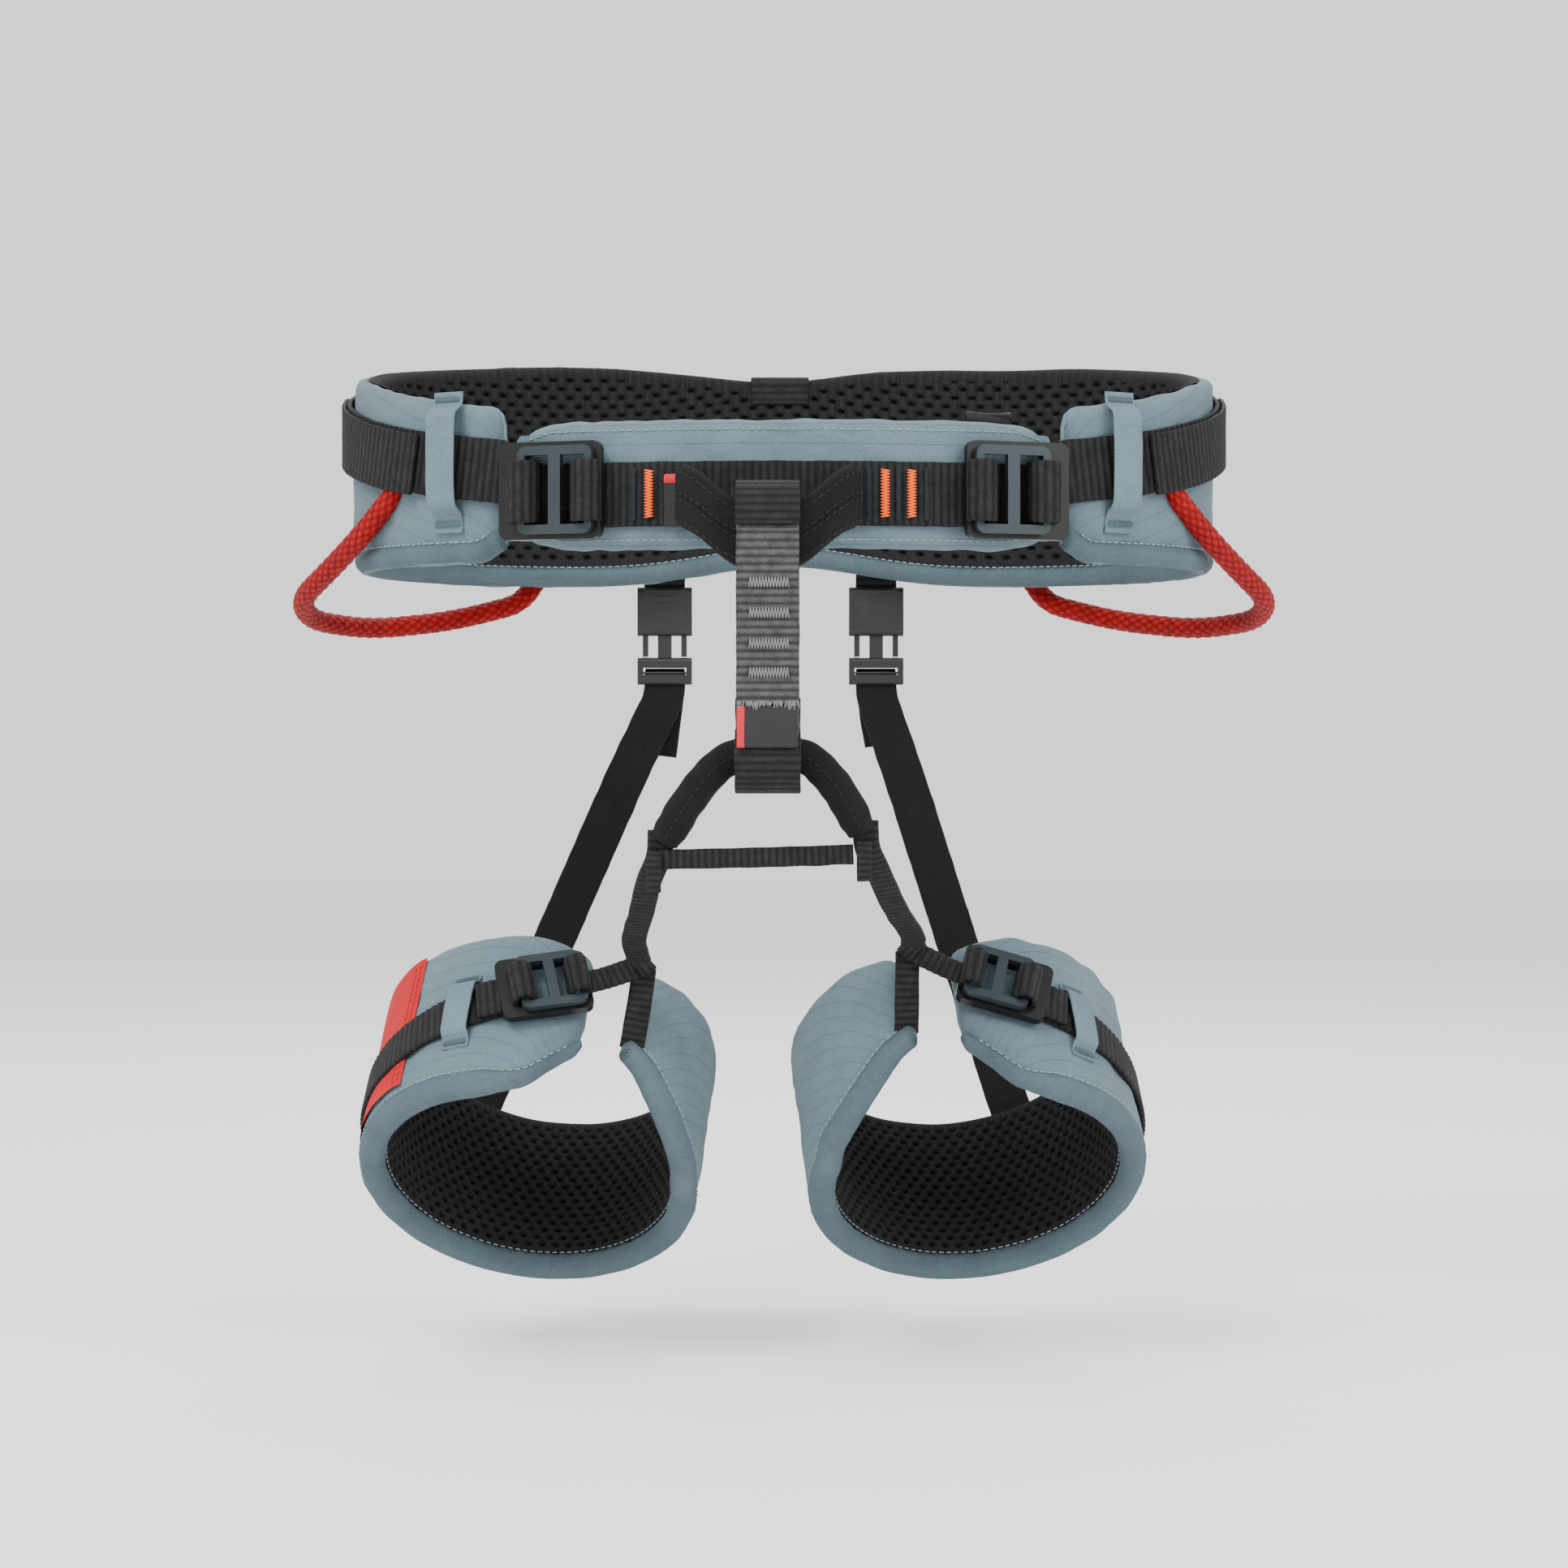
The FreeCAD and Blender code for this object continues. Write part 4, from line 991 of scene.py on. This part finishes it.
def belay_path():
    """The belay loop's centre line from the middle of its rear: narrow at the top, round at the foot."""
    middle, half = -118.2, 6.0
    turn = np.radians(np.linspace(0, 180, 13))
    foot = [(middle + 9.3 * math.cos(t), -83.6 - 9.3 * math.sin(t)) for t in turn]
    rear = [(middle + half, -30), (middle + half, -62), (middle + 9.3, -80)]
    front = [(middle - 9.3, -80), (middle - half, -62), (middle - half, -30), (middle - half, -5.4)]
    top = [(middle - half + 3.6, -1.6), (middle + half - 3.6, -1.6), (middle + half, -5.4),
           (middle + half, -30)]
    return on_middle(rear + foot[1:-1] + front + top)


def make_belay_loop():
    path, side = route(belay_path(), (1, 0, 0), 5, 0.4)
    ring = webbing_object("belay_webbing", path[:-1], side[:-1], 19.4, 3.3, 2.42, 0.32, "grey_webbing",
                          loop=True, seed=4)
    ride(ring, "belay", "belay_loop")
    cover = [(-126.4, -76), (-129.4, -82)]
    turn = np.radians(np.linspace(10, 170, 11))
    cover += [(-118.2 - 11.5 * math.cos(t), -83.6 - 11.5 * math.sin(t)) for t in turn]
    cover += [(-107.2, -80), (-109.6, -66)]
    strap("belay_foot_cover", on_middle(cover), 20.2, 1.2, "webbing", "belay", radius=2.5, step=0.4,
          pitch=2.4, rib=0.16)
    head = [(-126.4, -13), (-126.4, -4.4), (-122.0, 0.4), (-114.4, 0.4), (-110.2, -4.4), (-110.2, -26)]
    strap("belay_head_cover", on_middle(head), 19.8, 1.0, "webbing", "belay", radius=4, step=0.4, pitch=2.4,
          rib=0.16, seed=8)
    over = [(-126.3, -14.5), (-126.4, -40), (-126.5, -62), (-127.6, -68.2)]
    strap("belay_front_ply", on_middle(over), 19.2, 1.9, "grey_webbing", "belay", step=0.4, pitch=2.42,
          rib=0.22, seed=12)
    rows = []
    for z in (-31.0, -40.3, -49.7, -58.6):
        rows.append(zigzag((-4.6, -127.8, z), (1, 0, 0), (0, 0, 1.0), length=12.2, width=3.4, pitch=0.95))
    threads("belay_tacks", rows, "grey_thread", "belay", 0.2)
    make_frayed_end()
    label = np.array(on_middle([(-128.6, -69.0), (-129.9, -74), (-130.6, -81.6)]))
    strap("belay_label", label + [1.0, 0, 0], 16.4, 0.7, "label", "belay", radius=3, step=0.6, pitch=0, rib=0)
    strap("belay_label_edge", label + [-8.2, -0.1, 0], 2.4, 0.8, "red_edge", "belay", radius=3, step=0.6,
          pitch=0, rib=0)


def make_frayed_end():
    """Short loose yarns where the front ply is cut."""
    rng = np.random.default_rng(5)
    x = rng.uniform(-14.2, 4.2, 150)
    top = np.stack([x, rng.uniform(-128.9, -127.9, 150), np.full(150, -67.2)], 1)
    fall = np.stack([rng.normal(0, 0.5, 150), rng.normal(-0.2, 0.25, 150), -rng.uniform(1.2, 3.2, 150)], 1)
    threads("belay_fray", [(top, top + fall)], "grey_thread", "belay", 0.16)


def make_lower_tie_in():
    points = [(-37, -110.5, -110), (-28.5, -115.5, -96), (-17, -118.2, -83), (7, -118.2, -83),
              (17, -115.5, -94), (24, -110.5, -107)]
    path, side = route(points, (0, 1, 0), 11, 0.5)
    distance = lengths(path)[:, None]
    turn = (np.arange(28) * TAU / 28)[None]
    creases = 0.2 * ripple(distance, turn * 5, 8, 33)
    radius = 4.7 + creases - 0.35 * np.exp(-((np.sin(turn / 2) / 0.12) ** 2))
    ends = smoothstep(np.minimum(distance, distance[-1] - distance) / 5)
    radius = radius * (0.86 + 0.14 * ends)
    section = np.stack([radius * np.cos(turn) * 0.96, radius * np.sin(turn) * 1.12], -1)
    rows = swept(path, side, section)
    item = ride(rows_object("lower_sleeve", rows, "sleeve"), "leg_frame", "lower_tie_in_sleeve")
    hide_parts("lower_tie_in_webbing")
    outward = np.array([0, -1.0, 0])
    line = path + outward * 4.75
    threads("lower_sleeve_thread", [stitch_row(line, 3.0, 1.9)], "dark_thread", "leg_frame", 0.16)
    points = [(-38.5, -112.0, -116.0), (-20, -112.3, -115.6), (5, -112.3, -115.0), (21.5, -112.0, -114.4)]
    strap("cross_band", points, 6.2, 1.9, "webbing", "leg_frame", ("cross_strap",), across=(0, 0, 1),
          step=0.4, pitch=2.2, rib=0.28)
    for name, x, z, end in (("left", -40.2, -113.5, -126.2), ("right", 24.8, -110.5, -122.6)):
        strap(f"cross_stub_{name}", [(x, -114.2, z), (x - 0.3, -114.0, (z + end) / 2), (x, -112.8, end)],
              4.4, 1.5, "webbing", "leg_frame", radius=4, step=0.4, pitch=2.0, rib=0.15)


LEG_STRAPS = {
    "left": [(-38.2, -110.2, -107), (-38.5, -109.5, -115), (-42.5, -100, -123), (-45, -85, -133),
             (-49, -64, -143)],
    "right": [(25.2, -110.2, -104), (25.5, -109.5, -112), (30, -100, -121), (35, -85, -132),
              (42, -64, -142)],
}


def make_leg_straps():
    for side, sign in SIDES.items():
        meet = in_leg(side, (-sign * 28, -63, 19))
        points = [np.array(p) for p in LEG_STRAPS[side]] + [meet + [0, -9, 2.5]]
        strap(f"leg_strap_{side}_band", points, 8.2, 2.5, "webbing", "leg_frame", (f"leg_strap_{side}",),
              radius=12, pitch=2.3, rib=0.3)
        t = -sign
        to_buckle = in_leg(side, [(t * 9.0, -62.4, 8.6), (t * 15, -62.4, 11.2), (t * 21, -62.8, 14.5),
                                   (t * 27, -63.2, 18.2), (t * 30, -63, 20.4)])
        to_pad = in_leg(side, [(t * 29.4, -63, 18.5), (t * 29.6, -56.5, 9.5), (t * 29.2, -49, 2.5),
                               (t * 29, -44.5, -1)])
        tilt = LEG_TURN[side] @ np.array([-0.3 * t, 0, 1.0])
        strap(f"leg_branch_{side}_buckle", to_buckle, 8.6, 2.4, "webbing", f"leg_{side}",
              (f"leg_branch_{side}",), across=tilt, radius=5, pitch=2.3, rib=0.3)
        strap(f"leg_branch_{side}_pad", to_pad, 8.2, 2.4, "webbing", f"leg_{side}",
              across=LEG_TURN[side] @ np.array([1.0, 0, 0]), radius=5, pitch=2.3, rib=0.3)
        fold = in_leg(side, [(t * 26.5, -65.2, 16.5), (t * 30.5, -65.2, 20.5)])
        strap(f"leg_junction_{side}", fold, 8.8, 2.0, "webbing", f"leg_{side}",
              across=LEG_TURN[side] @ np.array([-0.7 * t, 0, 0.7]), radius=3, pitch=2.3, rib=0.3)


# ---------------------------------------------------------------- leg loops

ARCH_X = [-14, -8, 14, 28, 48, 60]
ARCH_Z = [-32, -28, -5, 0, -21, -32]


def leg_low(angles, rise=0.0):
    """Height of a leg pad's lower edge: an arch at the front, between its two ends."""
    x, y = np.sin(np.radians(angles)) * 53, -np.cos(np.radians(angles)) * 53
    arch = np.mean([np.interp(x + shift, ARCH_X, ARCH_Z) for shift in np.linspace(-6, 6, 11)], 0)
    share = smoothstep((-y - 6) / 8)
    return -32 + share * (arch + 32 - 4 * smoothstep((arch + 31) / 10)) + rise


def leg_top(angles):
    inner = smoothstep((52 - angles) / 22) * 3.0
    outer = smoothstep((angles - 352) / 22) * 5.0
    return 32 - inner - outer + 0.0 * angles


def leg_hem_height(angles):
    return 9.4 - 4.4 * smoothstep((angles - 340) / 14) - 2.0 * smoothstep((44 - angles) / 12)


def under_leg_webbing(angles, heights):
    x = np.sin(np.radians(angles)) * 57
    return (np.abs(heights - 6.5 - 0.25 * x) < 9.5) & (angles > 232)


def make_leg_pad(side):
    at = leg_band(side)
    body = f"leg_{side}"
    pad(f"leg_pad_{side}", at, 30, 374, lambda a: leg_low(a, 0.8), leg_top, body,
        (f"leg_foam_{side}", f"leg_shell_{side}"), outer=8.0, held=under_leg_webbing, seed=41)
    lining(f"leg_mesh_{side}", at, 32.6, 371.4, lambda a: leg_low(a, 7.6), leg_top, body,
           (f"leg_lining_{side}",), pitch=(5.1, 3.05), hole=(1.25, 0.95))
    hem(f"leg_hem_{side}", at, 29.7, 374.3, leg_low, leg_hem_height, body, (f"leg_binding_{side}",), seed=51)


def make_leg_webbing(side):
    at = leg_band(side)
    angles, _ = even_angles(at, 235, 351, 0.5)
    x = np.sin(np.radians(angles)) * 58
    path = at(angles, 9.2, 6.5 + 0.25 * x)
    across = at(angles, 9.2, 7.5 + 0.25 * x) - path
    band = webbing_object(f"leg_webbing_{side}_band", path, unit(across), 15, 2.0, 2.5, 0.32, "webbing",
                          seed=13)
    ride(band, f"leg_{side}", f"leg_webbing_{side}")
    spots = [(8.3, -15), (8.5, -11.8), (11.6, -10), (12.0, -4), (12.0, 4), (11.6, 9.6), (8.6, 11.4),
             (8.4, 14)]
    points = [at(331, offset, z) for offset, z in spots]
    along = unit(at(332, 8, 0) - at(330, 8, 0))
    strap(f"leg_keeper_{side}_band", points, 9.6, 1.0, "elastic", f"leg_{side}", (f"leg_keeper_{side}",),
          across=along, radius=2, step=0.4, pitch=1.3, rib=0.08)
    rows = [zigzag(at(331, 9.4, z), along, unit(at(331, 8, 1) - at(331, 8, 0)), length=8.4, width=2,
                   pitch=0.7) for z in (-13.4, 12.7)]
    threads(f"leg_keeper_{side}_tacks", rows, "binding", f"leg_{side}", 0.2)
    if side == "right":
        spots = [(8.3, -22), (8.5, -18), (11.4, -16), (11.6, -8), (11.4, 0), (8.6, 2), (8.4, 5)]
        points = [at(262, offset, z) for offset, z in spots]
        along = unit(at(263, 8, 0) - at(261, 8, 0))
        strap("leg_rear_keeper", points, 8.6, 1.0, "elastic", "leg_right", across=along, radius=2, step=0.4,
              pitch=1.3, rib=0.08)
    angles, _ = even_angles(at, 337.5, 350, 0.45)
    x = np.sin(np.radians(angles)) * 58
    lift = 11.4 + 1.2 * smoothstep((angles - 343) / 7)
    path = at(angles, lift, 6.2 + 0.25 * x)
    across = at(angles, lift, 7.2 + 0.25 * x) - path
    band = webbing_object(f"leg_tail_{side}", path, unit(across), 14.6, 1.8, 2.5, 0.3, "webbing", seed=15)
    ride(band, f"leg_{side}")


def make_red_panel():
    at = leg_band("left")
    angles, distance = even_angles(at, 247, 309, 1.5)
    rise = np.linspace(0, 1, 44)[None]
    low, top = leg_low(angles, 9.6)[:, None], leg_top(angles)[:, None] - 1.2
    heights = low + (top - low) * rise
    along = distance[:, None]
    near = np.minimum(along, distance[-1] - along)
    offset = 8.75 + 0.12 * ripple(along, heights, 15, 71) - 0.55 * np.exp(-near / 1.2)
    sheet = rows_object("red_side_panel", at(angles[:, None], offset, heights), "red_panel", wrap=False)
    ride(sheet, "leg_left", "red_panel")
    rows = []
    for shift in (2.0, 4.6):
        for angle in (angles[0], angles[-1]):
            turn = angle + math.degrees(shift / 57) * (1 if angle == angles[0] else -1)
            z = np.linspace(-21, 29, 50)
            rows.append(stitch_row(at(np.full(50, turn), 9.0, z)))
    threads("red_panel_thread", rows, "red_edge", "leg_left", 0.24)


# ---------------------------------------------------------------- risers


def riser_points(side, sign):
    at = leg_band(side)
    angle = -154.0 if sign < 0 else -147.0
    end, above = at(angle, 9.5, 18.0), at(angle, 10.1, 31.0)
    start = np.array([-5 + sign * 39, 95.5, -57.2])
    tangent = unit(LEG_TURN[side] @ np.array([-sign * math.sin(math.radians(angle + 90)),
                                              -math.cos(math.radians(angle + 90)), 0]))
    tangent = tangent * np.sign(tangent[0])
    across = np.array([1.0, 0, 0])
    points, sides = [start, start - [0, 0, 3]], [across, across]
    for share, bow in ((0.2, 1.5), (0.45, 3), (0.7, 5), (0.88, 5)):
        points.append(start + (above - start) * share + [0, bow, 0])
        sides.append(across + (tangent - across) * share)
    return points + [above, end], sides + [tangent, tangent]


def make_risers():
    for side, sign in SIDES.items():
        points, sides = riser_points(side, sign)
        points[0] = points[0] + [0, 0, 6.2]
        path, across = route(points, sides, 14, 0.5)
        cut = len(path) // 2
        for name, part, bodies, nodes in (
            ("upper", slice(0, cut + 1), ("root", "leg_frame"), (f"riser_{side}",)),
            ("lower", slice(cut, len(path)), ("leg_frame", f"leg_{side}"), ()),
        ):
            line, wide = path[part], across[part]
            item = webbing_object(f"riser_{side}_{name}", line, wide, 15, 1.6, 1.6, 0.12, "black_elastic",
                                  seed=17, caps=False)
            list(bodies)
            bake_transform(item)
            if nodes:
                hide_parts(*nodes)
        x = MIDDLE_X + BUCKLE_REACH * sign
        tail = [(x, 97.6, -50), (x, 98.6, -57), (x + sign * 1, 98.0, -66),
                (x + sign * 3, 96.4, -78 - 4 * (sign < 0))]
        strap(f"riser_tail_{side}", tail, 14.6, 1.5, "black_elastic", "root", pitch=1.6, rib=0.1)
        at = leg_band(side)
        angle = -154.0 if sign < 0 else -147.0
        rows = [zigzag(at(angle, 11.0, z), unit(at(angle + 1, 8, 0) - at(angle, 8, 0)),
                       unit(at(angle, 8, 1) - at(angle, 8, 0)), length=12, width=2.2, pitch=0.7)
                for z in (20.5, 27.0)]
        threads(f"riser_{side}_tacks", rows, "dark_thread", f"leg_{side}", 0.2)
        make_tab(side, x)


def make_tab(side, x):
    """The tape that holds a side-release buckle's female half to the belt."""
    points = [(x, 94.8, -25.5), (x, 94.8, -20), (x, 94.6, -12), (x, 94.2, 0), (x, 94.0, 10.5)]
    strap(f"tab_{side}", points, 15, 1.7, "webbing", f"female_{side}", (f"belt_tab_{side}",), radius=4,
          pitch=2.4, rib=0.3)
    rows = [zigzag((x, 95.9, z), (1, 0, 0), (0, 0, 1.0), length=11, width=2.4, pitch=0.7) for z in (-6, 6.5)]
    threads(f"tab_{side}_tacks", rows, "dark_thread", f"female_{side}", 0.2)


# ---------------------------------------------------------------- gear loops

GEAR = [(125.0, -51.5, 10), (127.8, -50, 2), (139, -40, -10), (151, -25, -20), (165, -4, -30), (164, 17, -36),
        (146, 42, -38), (119, 62, -34), (95, 74.5, -27), (88, 77.8, -15), (86, 77.0, -5)]


def make_gear_loops():
    """Braided cords, pressed flat where they are sewn under the waist webbing and behind the belt."""
    for side, sign in SIDES.items():
        points = [(sign * x, y, z) for x, y, z in GEAR]
        path, across = route(points, (0.0, 0.0, 1.0), 13, 0.45)
        out = unit(path * [1, 1, 0])
        tangent = unit(np.gradient(path, axis=0))
        across = unit(np.cross(out, tangent))
        distance = lengths(path)[:, None]
        turn = (np.arange(40) * TAU / 40)[None]
        first, second = turn * 4 + distance * TAU / 9.5, turn * 4 - distance * TAU / 9.5
        braid = np.abs(np.sin(first)) ** 0.7 * np.abs(np.sin(second)) ** 0.7
        radius = 3.25 + 0.5 * braid
        near = np.minimum(distance, distance[-1] - distance)
        flat = 0.42 + 0.58 * smoothstep(near / 13)
        section = np.stack([radius * np.cos(turn) * (1.25 - 0.25 * flat), radius * np.sin(turn) * flat], -1)
        cord = rows_object(f"gear_cord_{side}", swept(path, across, section), "red_cord")
        # the valleys between the yarns are marked for painted shade
        ride(mark(cord, "valley_shade", 1 - braid), f"gear_{side}", f"gear_loop_{side}")
        over = [(153.2, 8.7), (154.9, 8.9), (155.6, 11.0), (157.4, 11.0), (158.1, 8.9), (159.8, 8.7)]
        patch = [oval(sign * angle, offset, -5.5) for angle, offset in over]
        strap(f"gear_patch_{side}", patch, 9.5, 1.1, "webbing", "root", across=(0, 0, 1), radius=2, rib=0.12)
        tack = [oval(sign * angle, 9.5, -5.5) for angle in (154, 159)]
        along = unit(oval(sign * 158, 9, 0) - oval(sign * 155, 9, 0))
        rows = [zigzag(spot, (0, 0, 1), along, length=8, width=2.2) for spot in tack]
        threads(f"gear_patch_{side}_tacks", rows, "dark_thread", "root")


# ---------------------------------------------------------------- studio


def make_studio():
    bpy.ops.mesh.primitive_circle_add(vertices=96, radius=6, fill_type="NGON", location=(0, 0, -0.2885))
    floor = bpy.context.object
    floor.name = "floor"
    paint = Finish("studio_floor", (0.9, 0.9, 0.9), 0.9, "spacer_mesh").material
    floor.data.materials.append(paint)
    world = bpy.data.worlds.new("studio")
    bpy.context.scene.world = world
    world.use_nodes = True
    world.node_tree.nodes["Background"].inputs["Color"].default_value = (1, 1, 1, 1)
    world.node_tree.nodes["Background"].inputs["Strength"].default_value = 1.35
    lamps = [
        ("key", (-0.9, -1.1, 1.3), 40, 0.9),
        ("fill", (1.1, -1.2, 0.8), 22, 0.9),
        ("back", (0.1, 1.3, 1.2), 14, 1.2),
    ]
    for name, place, power, size in lamps:
        data = bpy.data.lights.new(name, "AREA")
        data.energy = power
        data.size = size
        lamp = bpy.data.objects.new(name, data)
        bpy.context.scene.collection.objects.link(lamp)
        lamp.location = place
        lamp.rotation_euler = (Vector((0, 0, -0.1)) - Vector(place)).to_track_quat("-Z", "Y").to_euler()
    data = bpy.data.cameras.new("camera")
    data.lens, data.sensor_width = 79.94, 36
    camera = bpy.data.objects.new("camera", data)
    bpy.context.scene.collection.objects.link(camera)
    camera.location = (0, -1.190, -0.0926)
    camera.rotation_euler = (math.radians(90), 0, 0)
    bpy.context.scene.camera = camera


make_belt()
make_front_pad()
make_waist_webbing()
dress_hard_parts()
make_waist_wraps()
make_leg_wraps()
make_upper_tie_in()
make_belay_loop()
make_lower_tie_in()
make_leg_straps()
for side in SIDES:
    make_leg_pad(side)
    make_leg_webbing(side)
make_red_panel()
make_risers()
make_gear_loops()
make_studio()
